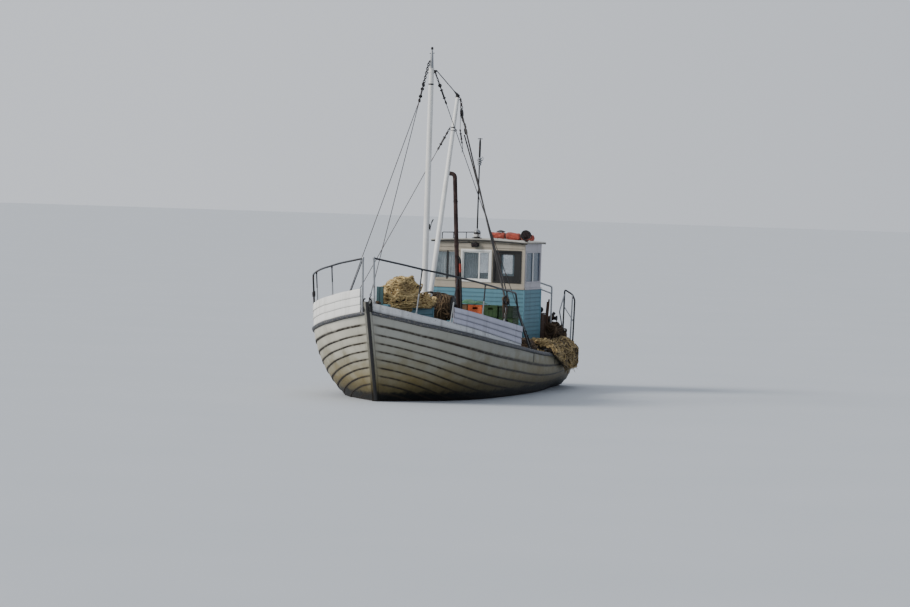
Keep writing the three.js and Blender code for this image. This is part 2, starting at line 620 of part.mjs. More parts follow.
const DOOR_GAP = 6;
const doorLeaf = box(HOUSE.rear, HOUSE.rear + 36, DOOR.y0 + DOOR_GAP, DOOR.y1 - DOOR_GAP, DOOR.sill + DOOR_GAP, DOOR.head - DOOR_GAP);
add('wheelhouse_door', cut(doorLeaf, [
  box(...rearX, DOOR_WINDOW.y0, DOOR_WINDOW.y1, REAR_WINDOW.sill, REAR_WINDOW.head),
]), MATERIAL.teal);

// Glass panes, held in the middle of each wall
const PANE = 6;
FRONT_WINDOWS.forEach((window, i) => {
  const x = HOUSE.front - HOUSE.wall / 2;
  const half = window.width / 2 - FIT;
  const pane = box(x - PANE / 2, x + PANE / 2, window.at - half, window.at + half, WINDOW.sill + FIT, WINDOW.head - FIT);
  add(`front_glass_${i + 1}`, pane, MATERIAL.glass);
});
for (const [side, name] of [[1, 'side_glass_port'], [-1, 'side_glass_starboard']]) {
  const y = side * (HOUSE.half - HOUSE.wall / 2);
  const pane = box(SIDE_WINDOW.x0 + FIT, SIDE_WINDOW.x1 - FIT, y - PANE / 2, y + PANE / 2, WINDOW.sill + FIT, WINDOW.head - FIT);
  add(name, pane, MATERIAL.glass);
}
const rearPane = (window, name) => {
  const x = HOUSE.rear + HOUSE.wall / 2 - 2;
  const pane = box(x - PANE / 2, x + PANE / 2, window.y0 + FIT, window.y1 - FIT, REAR_WINDOW.sill + FIT, REAR_WINDOW.head - FIT);
  add(name, pane, MATERIAL.glass);
};
rearPane(REAR_WINDOW, 'rear_glass');
rearPane(DOOR_WINDOW, 'door_glass');

// Floor of the wheelhouse, with the console that stands on it, and the helm
const houseInner = { x0: HOUSE.rear + HOUSE.wall + 1, x1: HOUSE.front - HOUSE.wall - 1, half: HOUSE.half - HOUSE.wall - 1 };
const CONSOLE = { depth: 330, top: 2380, y0: -900, y1: 300 };
add('wheelhouse_floor', join([
  box(houseInner.x0, houseInner.x1, -houseInner.half, houseInner.half, HOUSE.floor - 40, HOUSE.floor),
  box(houseInner.x1 - CONSOLE.depth, houseInner.x1, CONSOLE.y0, CONSOLE.y1, HOUSE.floor - 5, CONSOLE.top),
]), MATERIAL.wood);

const HELM = { x: houseInner.x1 - CONSOLE.depth - 90, y: -350, z: 2180, radius: 230 };
function helm() {
  const rim = new THREE.TorusGeometry(HELM.radius, 14, 6, 20).rotateY(Math.PI / 2);
  const spoke = (turn) => {
    const tip = new THREE.Vector3(0, Math.cos(turn), Math.sin(turn)).multiplyScalar(HELM.radius);
    return rod(tip.clone().negate(), tip, 9, 6);
  };
  const hub = rod(new THREE.Vector3(-25, 0, 0), new THREE.Vector3(84, 0, 0), 30, 10);
  return join([rim, hub, spoke(0.3), spoke(0.3 + Math.PI / 3), spoke(0.3 + 2 * Math.PI / 3)]);
}
const helmWheel = add('helm', helm(), MATERIAL.wood);
helmWheel.position.set(HELM.x, HELM.y, HELM.z);

// Things on the wheelhouse roof
const roofTop = (y) => roofUnder(y) + 48;
function roofRail() {
  const x = ROOF.front - 45;
  const p = (y, up) => new THREE.Vector3(x, y, roofTop(y) + up);
  const posts = [-900, -640, -330, -60].map((y) => rod(p(y, CLEAR), p(y, 150), 10, 6));
  return join([rod(p(-915, 150), p(-45, 150), 12, 6), ...posts]);
}
add('roof_rail', roofRail(), MATERIAL.darkSteel);

const LANTERN = { x: HOUSE.front - 112, y: -110 };
const polePoints = [[0, 0], [118, 0], [118, 20], [66, 30], [88, 70], [88, 140], [62, 190], [20, 214], [17, 1780], [36, 1800],
  [36, 1880], [20, 1905], [20, 2345], [0, 2345]];
const pole = new THREE.LatheGeometry(polePoints.map(([r, up]) => new THREE.Vector2(r, up)), 10).rotateX(Math.PI / 2);
add('lantern_pole', pole, MATERIAL.darkSteel).position.set(LANTERN.x, LANTERN.y, roofTop(LANTERN.y) + 2);

const LIGHT = { x: HOUSE.front + 5, y: 1120, up: 3590 };
function searchlight() {
  const drum = rod(new THREE.Vector3(-90, 0, 0), new THREE.Vector3(75, 0, 0), 100, 16, 116);
  const foot = rod(new THREE.Vector3(-10, 0, roofTop(LIGHT.y) + CLEAR + 1 - LIGHT.up), new THREE.Vector3(-10, 0, -60), 16, 8);
  return join([drum, foot]);
}
add('searchlight', searchlight(), MATERIAL.darkSteel).position.set(LIGHT.x, LIGHT.y, LIGHT.up);

const ROLL = { x: -3420, y0: 40, y1: 1140, radius: 92 };
function roofRoll() {
  const rings = [0, 0.04, 0.3, 0.5, 0.75, 0.96, 1].map((share) => {
    const y = ROLL.y0 + (ROLL.y1 - ROLL.y0) * share;
    const radius = ROLL.radius * (share === 0 || share === 1 ? 0.7 : 1 - 0.1 * Math.sin(9 * share));
    const ring = [];
    for (let i = 0; i < 12; i += 1) {
      const turn = 2 * Math.PI * i / 12;
      const up = Math.max(-0.82, Math.sin(turn)) * radius + ROLL.radius * 0.84;
      ring.push(new THREE.Vector3(ROLL.x + radius * Math.cos(turn), y, roofTop(y) + 6 + up));
    }
    return ring;
  });
  return loft(rings, fanCap);
}
add('roof_roll', roofRoll(), MATERIAL.orange);

// Mast, with a shoulder that carries the boom's swivel, and a thin pole at its head
const mastX = STEM_X - MAST_AFT;
const MAST_PROFILE = [[0, 900], [70, 900], [68, 2030], [92, 2034], [92, 2046], [68, 2050], [54, MAST_TOP], [26, MAST_TOP + 10],
  [22, MAST_TOP + 240], [12, MAST_TOP + 250], [10, MAST_TOP + 470], [0, MAST_TOP + 470]];
const mastBody = new THREE.LatheGeometry(MAST_PROFILE.map(([r, up]) => new THREE.Vector2(r, up)), 12).rotateX(Math.PI / 2);
add('mast', cut(mastBody.translate(mastX, 0, 0), [underDeck]), MATERIAL.mastWhite);

// Boom swivel: a collar round the mast with two ears and the boom's pin
const pinAt = place(GOOSENECK.aft, GOOSENECK.port, GOOSENECK.up);
function boomSwivel() {
  const low = 2056;
  const collar = cut(rod(new THREE.Vector3(mastX, 0, low), new THREE.Vector3(mastX, 0, low + 95), 100, 16),
    [rod(new THREE.Vector3(mastX, 0, low - 50), new THREE.Vector3(mastX, 0, low + 150), 76, 16)]);
  const ears = [30, -58].map((y) => box(pinAt.x - 45, mastX - 60, pinAt.y + y, pinAt.y + y + 28, low + 5, low + 90));
  const reach = box(mastX - 92, mastX - 60, -60, pinAt.y + 58, low + 5, low + 90);
  const notMast = rod(new THREE.Vector3(mastX, 0, low - 50), new THREE.Vector3(mastX, 0, low + 150), 77, 16);
  const pin = rod(new THREE.Vector3(pinAt.x, pinAt.y - 40, pinAt.z), new THREE.Vector3(pinAt.x, pinAt.y + 40, pinAt.z), 11, 10);
  return cut(join([collar, ...ears, reach, pin]), [notMast]);
}
add('boom_swivel', boomSwivel(), MATERIAL.darkSteel);

// Boom: drawn upright on its pin, then leaned aft
function boomBody() {
  const profile = [[0, 75], [40, 75], [52, 180], [56, 1600], [50, 3600], [41, BOOM_LENGTH - 40], [34, BOOM_LENGTH], [0, BOOM_LENGTH]];
  const spar = new THREE.LatheGeometry(profile.map(([r, up]) => new THREE.Vector2(r, up)), 12).rotateX(Math.PI / 2);
  const tang = box(-26, 26, -22, 22, -26, 120);
  const hole = rod(new THREE.Vector3(0, -60, 0), new THREE.Vector3(0, 60, 0), 15, 10);
  return cut(join([spar, tang]), [hole]);
}
const boom = add('boom', boomBody(), MATERIAL.mastWhite);
boom.position.copy(pinAt);
boom.rotation.y = -THREE.MathUtils.degToRad(BOOM_REST);

// Main stays
const STAY_R = 8;
const masthead = (port, aft = 0) => place(MAST_AFT + aft, port, MAST_TOP - 60);
const STAYS = [
  { name: 'forestay', from: masthead(0, -75), to: place(60, 0, 2200) },
  { name: 'shroud_port', from: masthead(75), to: overSheer(5830, 12, 1, 22) },
  { name: 'shroud_starboard', from: masthead(-75), to: overSheer(3800, 160, -1, 90) },
];
for (const { name, from, to } of STAYS) add(name, rod(from, to, STAY_R, 6), MATERIAL.steelTube);

// Exhaust pipe from the trunk, leaning to starboard, with a bend over at its head
function exhaust() {
  const route = [[210, TRUNK.top + 5], [-10, 4790], [-45, 4890], [-110, 4945], [-200, 4955]];
  return bentTube(route.map(([y, z]) => new THREE.Vector3(STEM_X - 7110, -300 + y, z)), 52, 12);
}
add('exhaust_pipe', exhaust(), MATERIAL.rust);

// Trunk over the fish hold and engine, ahead of the wheelhouse, with a hinged hatch lid
const LID = { x0: -640, x1: 160, half: 430, low: TRUNK.top + 6, high: TRUNK.top + 56 };
const hatchWell = box(LID.x0 + 60, LID.x1 - 60, -LID.half + 60, LID.half - 60, 900, TRUNK.top + 100);
const trunkBlock = box(TRUNK.rear, TRUNK.front, -TRUNK.half, TRUNK.half, 300, TRUNK.top);
add('trunk', cut(trunkBlock, [underDeck, hatchWell]), MATERIAL.teal);
add('hatch_lid', box(LID.x0, LID.x1, -LID.half, LID.half, LID.low, LID.high), MATERIAL.deckGrey);

// Fish crates: open boxes in a row of three on a row of three
const CRATE = { length: 540, width: 352, height: 262, wall: 14 };
function crateAt(x, y, z) {
  const shell = box(x, x + CRATE.length, y, y + CRATE.width, z, z + CRATE.height);
  const inside = box(x + CRATE.wall, x + CRATE.length - CRATE.wall, y + CRATE.wall, y + CRATE.width - CRATE.wall, z + CRATE.wall, z + 400);
  return cut(shell, [inside]);
}
const CRATE_X = STEM_X - 7300 - CRATE.length;
const CRATE_ROW = [60, 430, 800];
const layer = (n) => TRUNK.top + 1 + n * (CRATE.height + 1);
const lowerRow = CRATE_ROW.map((y) => crateAt(CRATE_X, y, layer(0)));
const tie = (y) => box(CRATE_X + 100, CRATE_X + 440, y + CRATE.width - 2, y + CRATE.width + 20, layer(0) + 150, layer(0) + 170);
add('crates_lower', join([...lowerRow, tie(CRATE_ROW[0]), tie(CRATE_ROW[1])]), MATERIAL.green);
add('crate_orange', crateAt(CRATE_X, CRATE_ROW[0], layer(1)), MATERIAL.orange);
add('crate_green', crateAt(CRATE_X, CRATE_ROW[1], layer(1)), MATERIAL.green);
add('crate_dark_green', crateAt(CRATE_X, CRATE_ROW[2], layer(1)), MATERIAL.green);

// Net drum on its stand, abaft the mast: wound with dark net
const DRUM = { x: STEM_X - 4850, y0: -250, y1: 430, z: 1960, radius: 300 };
function drumStand() {
  const cheek = (y) => sidePlate([[DRUM.x - 330, 700], [DRUM.x + 330, 700], [DRUM.x + 60, DRUM.z + 60], [DRUM.x - 60, DRUM.z + 60]], 20)
    .translate(0, y, 0);
  const bearing = (y) => rod(new THREE.Vector3(DRUM.x, y - 60, DRUM.z), new THREE.Vector3(DRUM.x, y + 60, DRUM.z), 36, 12);
  const base = box(DRUM.x - 300, DRUM.x - 240, DRUM.y0 - 80, DRUM.y1 + 80, 700, 1120);
  return cut(join([cheek(DRUM.y0 - 60), cheek(DRUM.y1 + 60), base]), [underDeck, bearing(DRUM.y0 - 60), bearing(DRUM.y1 + 60)]);
}
add('net_drum_stand', drumStand(), MATERIAL.darkSteel);
const drumProfile = [[0, -115], [28, -115], [28, -14], [DRUM.radius - 60, -14], [DRUM.radius - 60, 0], [DRUM.radius, 60], [DRUM.radius, 620],
  [DRUM.radius - 60, 680], [DRUM.radius - 60, 694], [28, 694], [28, 795], [0, 795]];
const drumBody = new THREE.LatheGeometry(drumProfile.map(([r, along]) => new THREE.Vector2(r, along)), 20);
add('net_drum', drumBody, MATERIAL.darkNet).position.set(DRUM.x, DRUM.y0, DRUM.z);

// Net bin on the foredeck: four boards, tapered towards the bow, with a tall board at its fore end
const BIN = { fore: 1330, aft: 3420, foreY: [-560, 20], aftY: [-860, 430], top: 2075, wall: 32 };
const binCorner = (end, side) => place(BIN[end], BIN[`${end}Y`][side], 0);
function binPrism(inset, low, high) {
  const corners = [binCorner('fore', 0), binCorner('fore', 1), binCorner('aft', 1), binCorner('aft', 0)];
  const middle = new THREE.Vector3(STEM_X - (BIN.fore + BIN.aft) / 2, -240, 0);
  const shape = new THREE.Shape(corners.map((p) => {
    const away = p.clone().sub(middle);
    return new THREE.Vector2(p.x - Math.sign(away.x) * inset, p.y - Math.sign(away.y) * inset);
  }));
  const geometry = new THREE.ExtrudeGeometry(shape, { depth: high - low, bevelEnabled: false });
  return geometry.translate(0, 0, low);
}
const binWalls = cut(binPrism(0, 900, BIN.top), [binPrism(BIN.wall, 800, 2500)]);
const endBoard = box(STEM_X - BIN.fore - BIN.wall, STEM_X - BIN.fore, -265, -105, 1500, 2450);
add('net_bin', standing(join([binWalls, endBoard])), MATERIAL.teal);

// Soft heaps of net: rings of an uneven outline, one above the other
function heap(levels, at) {
  const rings = levels.map(({ up, long, wide, dx = 0, dy = 0 }) => {
    const ring = [];
    for (let i = 0; i < 18; i += 1) {
      const turn = 2 * Math.PI * i / 18;
      const wobble = 1 + 0.06 * Math.sin(3 * turn + up / 90) + 0.04 * Math.cos(5 * turn);
      ring.push(new THREE.Vector3(at.x + dx + long * wobble * Math.cos(turn), at.y + dy + wide * wobble * Math.sin(turn), up));
    }
    return ring;
  });
  return loft(rings, fanCap);
}
const netHeap = heap([
  { up: 2082, long: 800, wide: 400 },
  { up: 2230, long: 880, wide: 440 },
  { up: 2400, long: 760, wide: 400, dx: 120 },
  { up: 2540, long: 520, wide: 330, dx: 240 },
  { up: 2630, long: 300, wide: 220, dx: 300 },
  { up: 2655, long: 120, wide: 90, dx: 300 },
], place(2380, -50, 0));
const netFill = binPrism(BIN.wall + 30, 1750, 2100);
add('net_heap', cut(join([netFill, netHeap]), [
  box(STEM_X - BIN.fore - BIN.wall - 1, STEM_X - BIN.fore + 300, -800, 800, 1500, 2600),
  binRimTool(),
]), MATERIAL.net);
function binRimTool() {
  return cut(binPrism(-1, 1600, BIN.top + 2), [binPrism(BIN.wall + 2, 1500, 2600)]);
}

// Net hung over the port quarter: an arched shell over the gunwale. drop: how far it hangs outboard,
// bulk: how high it lies inboard.
function quarterNet() {
  const rows = [
    { aft: 7600, drop: 0.15, bulk: 0.5 },
    { aft: 8200, drop: 0.4, bulk: 0.7 },
    { aft: 8800, drop: 0.75, bulk: 0.85 },
    { aft: 9400, drop: 1, bulk: 1 },
    { aft: 10000, drop: 1, bulk: 1 },
    { aft: 10500, drop: 0.9, bulk: 0.9 },
    { aft: 10750, drop: 0.6, bulk: 0.6 },
  ];
  return loft(rows.map(({ aft, drop, bulk }) => {
    const top = overSheer(aft, 0, 1, 0);
    const side = (out, up) => new THREE.Vector3(top.x, top.y + out, top.z + up);
    return [
      side(72, -380 * drop), side(75, 12), side(-62, 14), side(-190, 14), side(-330, 14), side(-330, 30 + 80 * bulk),
      side(-160, 250 * bulk), side(30, 170 * bulk + 20), side(94, 30), side(108, -390 * drop),
    ];
  }));
}
add('quarter_net', cut(quarterNet(), [sternRail(5)]), MATERIAL.net);

// Bitt at the bow: a squat post with a crossbar
function bowBitt() {
  const at = place(430, -60, 0);
  const post = box(at.x - 55, at.x + 55, at.y - 55, at.y + 55, 1300, 2250);
  const bar = rod(new THREE.Vector3(at.x, at.y - 190, 2120), new THREE.Vector3(at.x, at.y + 190, 2120), 26, 10);
  return standing(join([post, bar]));
}
add('bow_bitt', bowBitt(), MATERIAL.darkSteel);

// Davit on the port quarter, inboard of the stern rail
function sternDavit() {
  const p = (up, dy = 0, dx = 0) => new THREE.Vector3(AFT_DECK_X + dx, 1130 + dy, up);
  return join([
    standing(rod(p(400), p(1500), 58, 12)),
    rod(p(1480), p(1760, 120, -60), 50, 12, 34),
    rod(p(1610, -70, -20), p(1610, 190, -20), 66, 14),
  ]);
}
add('stern_davit', sternDavit(), MATERIAL.darkSteel);

// Wooden gear box behind the wheelhouse, to port of the door
const GEAR_BOX = { x0: HOUSE.rear - 440, x1: HOUSE.rear - 10, y0: 720, y1: 1130, top: 1740 };
add('gear_box', standing(box(GEAR_BOX.x0, GEAR_BOX.x1, GEAR_BOX.y0, GEAR_BOX.y1, 400, GEAR_BOX.top)), MATERIAL.wood);

export default trawler;
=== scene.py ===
"""A small wooden fishing trawler, lap planked, afloat: what is seen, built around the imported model.

Metres, in the boat's frame: +X to the bow, +Y to port, +Z up, the waterline at Z 0.
"""

import functools
import math
import random

import bmesh
import bpy
import numpy as np
from mathutils import Matrix, Vector, noise


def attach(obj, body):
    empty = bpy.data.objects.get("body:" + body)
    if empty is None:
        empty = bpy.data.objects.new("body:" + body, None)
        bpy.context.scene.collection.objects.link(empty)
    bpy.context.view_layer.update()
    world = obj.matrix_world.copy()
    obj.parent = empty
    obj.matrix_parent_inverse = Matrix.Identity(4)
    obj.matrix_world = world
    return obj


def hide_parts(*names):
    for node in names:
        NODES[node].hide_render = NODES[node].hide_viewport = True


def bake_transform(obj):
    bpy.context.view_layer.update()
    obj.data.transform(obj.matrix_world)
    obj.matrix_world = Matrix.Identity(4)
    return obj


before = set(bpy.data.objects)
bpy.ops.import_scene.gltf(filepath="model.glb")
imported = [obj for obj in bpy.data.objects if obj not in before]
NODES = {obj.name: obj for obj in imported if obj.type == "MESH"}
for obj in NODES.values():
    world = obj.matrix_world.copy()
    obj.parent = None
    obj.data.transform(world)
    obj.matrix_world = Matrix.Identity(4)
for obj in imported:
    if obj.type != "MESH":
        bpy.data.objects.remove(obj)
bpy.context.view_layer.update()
DRAW = random.Random(41)

# Driving dimensions, as the solids have them: planking, deck, bulwarks and rails, rig, house and trunk
STEM_X = 5.6
PLANK_RUN = 11.1
LAP = 0.022
DECK_GIRTH = 0.923
PLANK_WALL = 0.045
HALF_KEEL = 0.07
DECK_RISE = 0.024
DECK_THICK = 0.04
BULWARK_WALL = 0.04
BULWARK_FLARE = 0.07
BULWARK_TOP = 0.5
RAIL_TOP = 1.13
MAST_X = 1.58
PIN = Vector((1.4, 0.075, 2.1))
BOOM_LEAN = math.radians(20)
HOUSE = {"front": -2.76, "rear": -4.22, "half": 1.1, "eaves": 3.38}
TRUNK_TOP = 1.42
BOARDS_TOP = 2.31

# The strakes' edges, as shares of the way from keel to sheer
EDGES = [0, 0.08, 0.16, 0.24, 0.315, 0.39, 0.46, 0.53, 0.6, 0.67, 0.74, 0.81, 0.89, 1]
# Hull lines: aft of the stem, half breadth, sheer height, keel height
LINES = [
    (0, 0.06, 1.96, -0.62), (0.05, 0.205, 1.925, -0.62), (0.12, 0.38, 1.89, -0.621),
    (0.3, 0.72, 1.815, -0.624), (0.55, 1.02, 1.735, -0.629), (0.85, 1.29, 1.67, -0.635),
    (1.2, 1.53, 1.595, -0.641), (1.7, 1.78, 1.505, -0.65), (2.3, 1.93, 1.415, -0.662),
    (3.0, 2.01, 1.33, -0.676), (3.9, 2.045, 1.24, -0.69), (4.8, 2.05, 1.155, -0.7),
    (6.0, 2.04, 1.04, -0.69), (7.2, 2.0, 0.945, -0.63), (8.4, 1.925, 0.89, -0.5),
    (9.6, 1.82, 0.865, -0.33), (10.4, 1.73, 0.865, -0.27), (11.1, 1.63, 0.88, -0.22),
]
# Section shape: share of the run, then the two handles of the curve from keel to sheer
SECTIONS = [
    (0, 0.10, 0.20, 0.60, 0.62), (0.05, 0.25, 0.15, 0.80, 0.55), (0.15, 0.45, 0.12, 0.97, 0.48),
    (0.35, 0.65, 0.08, 1.00, 0.44), (0.60, 0.72, 0.06, 1.00, 0.43), (0.87, 0.75, 0.06, 1.00, 0.36),
    (1, 0.85, 0.0, 1.00, 0.28),
]

# Camera, floor and light: the photo's sizes in its pixels, the camera's turns in degrees
PHOTO = {"width": 910, "focal": 3870, "centre_v": 303.5, "horizon_v": 238.3}
CAMERA = {"bearing": 16.5, "heel": 2.7, "roll": 0.7, "eye": (84.0, 25.232, 3.479)}
SENSOR = 36.0


def make_camera():
    """The photograph's own view: far off the port bow, a little above the rail."""
    bearing, heel, roll = [math.radians(CAMERA[turn]) for turn in ("bearing", "heel", "roll")]
    dip = math.atan((PHOTO["centre_v"] - PHOTO["horizon_v"]) / PHOTO["focal"])
    upright = Matrix.Rotation(heel, 3, "X")
    ahead = Vector((-math.cos(bearing), -math.sin(bearing), 0))
    right = Vector((-math.sin(bearing), math.cos(bearing), 0))
    above = Vector((0, 0, 1))
    looking = ahead * math.cos(dip) - above * math.sin(dip)
    over = above * math.cos(dip) + ahead * math.sin(dip)
    level = right * math.cos(roll) - over * math.sin(roll)
    over = over * math.cos(roll) + right * math.sin(roll)
    turn = Matrix((upright @ level, upright @ over, upright @ -looking)).transposed()
    data = bpy.data.cameras.new("camera")
    data.lens = PHOTO["focal"] * SENSOR / PHOTO["width"]
    data.sensor_width = SENSOR
    data.clip_start, data.clip_end = 1, 2000
    camera = bpy.data.objects.new("camera", data)
    bpy.context.collection.objects.link(camera)
    camera.matrix_world = Matrix.Translation(upright @ Vector(CAMERA["eye"])) @ turn.to_4x4()
    bpy.context.scene.camera = camera


def lamp(name, direction, strength, colour, spread):
    """A far, soft lamp that shines from a direction."""
    data = bpy.data.lights.new(name, "SUN")
    data.energy = strength
    data.color = colour
    data.angle = math.radians(spread)
    light = bpy.data.objects.new(name, data)
    bpy.context.collection.objects.link(light)
    light.rotation_euler = Vector(direction).to_track_quat("Z", "Y").to_euler()


def srgb(red, green, blue):
    """A colour named as on a screen, from 0 to 255, in linear light."""
    def linear(value):
        value /= 255
        return value / 12.92 if value <= 0.04045 else ((value + 0.055) / 1.055) ** 2.4
    return (linear(red), linear(green), linear(blue), 1)


def make_world():
    """A soft overcast sky, brighter to starboard than to port."""
    to_starboard, to_port = (0.84, 0.88, 0.95, 1), (0.34, 0.38, 0.46, 1)
    world = bpy.data.worlds.new("sky")
    world.use_nodes = True
    tree = world.node_tree
    split = tree.nodes.new("ShaderNodeSeparateXYZ")
    tree.links.new(tree.nodes.new("ShaderNodeTexCoord").outputs["Generated"], split.inputs[0])
    share = tree.nodes.new("ShaderNodeMapRange")
    tree.links.new(split.outputs["Y"], share.inputs["Value"])
    share.inputs["From Min"].default_value = -0.35
    share.inputs["From Max"].default_value = 0.65
    mix = tree.nodes.new("ShaderNodeMix")
    mix.data_type = "RGBA"
    tree.links.new(share.outputs[0], mix.inputs[0])
    mix.inputs[6].default_value = to_starboard
    mix.inputs[7].default_value = to_port
    background = tree.nodes["Background"]
    tree.links.new(mix.outputs[2], background.inputs["Color"])
    background.inputs["Strength"].default_value = 0.9
    bpy.context.scene.world = world


# Materials
class Look:
    """One material: its main shader and the nodes that drive it."""

    def __init__(self, name, roughness=0.6, metallic=0.0, **sockets):
        self.material = bpy.data.materials.new(name)
        self.material.use_nodes = True
        self.tree = self.material.node_tree
        self.tree.nodes.clear()
        end = self.tree.nodes.new("ShaderNodeOutputMaterial")
        self.shader = self.tree.nodes.new("ShaderNodeBsdfPrincipled")
        self.tree.links.new(self.shader.outputs[0], end.inputs[0])
        self.place = self.tree.nodes.new("ShaderNodeTexCoord").outputs["Object"]
        self.set("Roughness", roughness)
        self.set("Metallic", metallic)
        for socket, value in sockets.items():
            self.set(socket.replace("_", " "), value)

    def set(self, socket, value):
        self.feed(self.shader.inputs[socket], value)

    def feed(self, target, value):
        """Gives a socket a constant, or links it to a node's output."""
        if isinstance(value, bpy.types.NodeSocket):
            self.tree.links.new(value, target)
        else:
            target.default_value = value

    def node(self, kind, **inputs):
        """A new node, with its inputs fed by name."""
        made = self.tree.nodes.new("ShaderNode" + kind)
        for socket, value in inputs.items():
            self.feed(made.inputs[socket.replace("_", " ")], value)
        return made

    def noise(self, scale, detail=3, stretch=(1, 1, 1), shift=(0, 0, 0), rough=0.55):
        """Cloudy values from 0 to 1. stretch says how fast they change along each axis of the boat."""
        place = self.node("Mapping", Vector=self.place, Scale=stretch, Location=shift).outputs[0]
        return self.node("TexNoise", Vector=place, Scale=scale, Detail=detail, Roughness=rough).outputs[0]

    def attribute(self, name):
        node = self.tree.nodes.new("ShaderNodeAttribute")
        node.attribute_name = name
        return node.outputs["Fac"]

    def axis(self, name):
        return self.node("SeparateXYZ", Vector=self.place).outputs[name]

    def level(self, value, low, high, to_low=0.0, to_high=1.0):
        """The value's share of the way from low to high, held within its ends."""
        ends = {"From_Min": low, "From_Max": high, "To_Min": to_low, "To_Max": to_high}
        return self.node("MapRange", Value=value, **ends).outputs[0]

    def combine(self, operation, first, second):
        node = self.node("Math")
        node.operation = operation
        self.feed(node.inputs[0], first)
        self.feed(node.inputs[1], second)
        return node.outputs[0]

    def mix(self, share, first, second):
        """A colour between two."""
        node = self.node("Mix")
        node.data_type = "RGBA"
        node.clamp_factor = True
        self.feed(node.inputs[0], share)
        self.feed(node.inputs[6], first)
        self.feed(node.inputs[7], second)
        return node.outputs[2]

    def bump(self, height, distance):
        self.set("Normal", self.node("Bump", Distance=distance, Strength=1.0, Height=height).outputs[0])


def toned(colour, factor):
    """A colour made darker or brighter."""
    return tuple(c * factor for c in colour[:3]) + (1,)


def painted(name, colour, grime, roughness=0.55, chips=0.68, bare=(115, 100, 82), streaks=0.5, patches=0.16):
    """Old paint on wood: uneven, streaked with grime, chipped to the wood, dark along marked edges and laps
    with dirt and painted shade.
    """
    look = Look(name)
    colour, grime = srgb(*colour), srgb(*grime)
    broad = look.noise(0.9, 3)
    body = look.mix(look.level(broad, 0.35, 0.7), colour, toned(colour, 1 - patches))
    tone = look.attribute("tone")
    body = look.mix(look.level(tone, 0.0, 1.0, 0.0, 0.5), body, toned(colour, 0.8))
    run = look.noise(7, 4, stretch=(1, 1, 0.10))
    body = look.mix(look.level(run, 0.52, 0.78, 0.0, streaks), body, grime)
    spots = look.noise(26, 5, stretch=(1, 1, 1.6), rough=0.65)
    flaked = look.level(spots, chips, chips + 0.03)
    body = look.mix(flaked, body, srgb(*bare))
    # Darker along marked edges and under laps: dirt, and painted shade
    worn = look.combine("MULTIPLY", look.attribute("dirt_and_shade"),
                        look.level(look.noise(11, 4), 0.25, 0.5, 0.75, 1.0))
    body = look.mix(worn, body, toned(grime, 0.45))
    look.set("Base Color", body)
    fine = look.noise(90, 3, stretch=(0.35, 1, 1))
    look.set("Roughness", look.level(fine, 0.3, 0.7, roughness - 0.08, roughness + 0.15))
    relief = look.combine("SUBTRACT", look.combine("MULTIPLY", fine, 0.35), flaked)
    look.bump(relief, 0.0015)
    return look.material


def hull_paint():
    """Cream paint on lap planks: grime in runs, painted shade to port and low down, yellow stain low down,
    dark growth at the waterline, dirt and painted shade under the laps.
    """
    look = Look("hull_paint", Specular_IOR_Level=0.3)
    cream = srgb(216, 212, 198)
    broad = look.noise(0.8, 3)
    body = look.mix(look.level(broad, 0.35, 0.7), cream, srgb(192, 189, 174))
    body = look.mix(look.level(look.attribute("tone"), 0, 1, 0, 0.5), body, srgb(178, 174, 158))
    run = look.noise(5.5, 5, stretch=(1, 1, 0.12), rough=0.6)
    body = look.mix(look.level(run, 0.54, 0.80, 0.0, 0.65), body, srgb(116, 114, 98))
    # Greyer to port: painted shade on the side away from the light
    port_painted_shade = look.level(look.axis("Y"), -0.05, 0.12, 0.0, 0.72)
    body = look.mix(port_painted_shade, body, srgb(148, 149, 144))
    height = look.axis("Z")
    cloud = look.noise(2.4, 5, stretch=(1, 1, 1.4))
    edge = look.combine("ADD", height, look.level(cloud, 0.2, 0.8, -0.35, 0.35))
    # Greyer and darker from 1.65 m down to 0.7 m: painted shade on the lower hull
    body = look.mix(look.level(edge, 1.65, 0.70, 0.0, 0.72), body, srgb(132, 128, 106))
    body = look.mix(look.level(edge, 1.00, 0.30, 0.0, 0.88), body, srgb(118, 103, 60))
    low = look.combine("ADD", height, look.level(look.noise(7, 5), 0.2, 0.8, -0.07, 0.07))
    # Olive-dark from 0.52 m down to 0.2 m: growth, and painted shade near the waterline
    body = look.mix(look.level(low, 0.52, 0.20, 0.0, 0.85), body, srgb(66, 60, 38))
    body = look.mix(look.level(low, 0.235, 0.150), body, srgb(13, 13, 10))
    body = look.mix(look.level(height, 0.04, -0.06), body, srgb(62, 46, 38))
    spots = look.noise(22, 5, stretch=(0.7, 1, 1.5), rough=0.65)
    flaked = look.level(spots, 0.70, 0.73)
    body = look.mix(flaked, body, srgb(112, 98, 80))
    rust = look.level(look.noise(3.1, 5, stretch=(1, 1, 0.35), shift=(4, 2, 0)), 0.70, 0.80, 0.0, 0.6)
    body = look.mix(rust, body, srgb(136, 104, 70))
    # Dark along the marked laps and edges: dirt, and painted shade under the laps
    worn = look.combine("MULTIPLY", look.attribute("dirt_and_shade"),
                        look.level(look.noise(9, 4), 0.25, 0.55, 0.6, 1.0))
    body = look.mix(worn, body, srgb(44, 36, 26))
    look.set("Base Color", body)
    fine = look.noise(80, 3, stretch=(0.3, 1, 1))
    look.set("Roughness", look.level(fine, 0.3, 0.7, 0.42, 0.68))
    relief = look.combine("SUBTRACT", look.combine("MULTIPLY", fine, 0.4), flaked)
    look.bump(relief, 0.002)
    return look.material


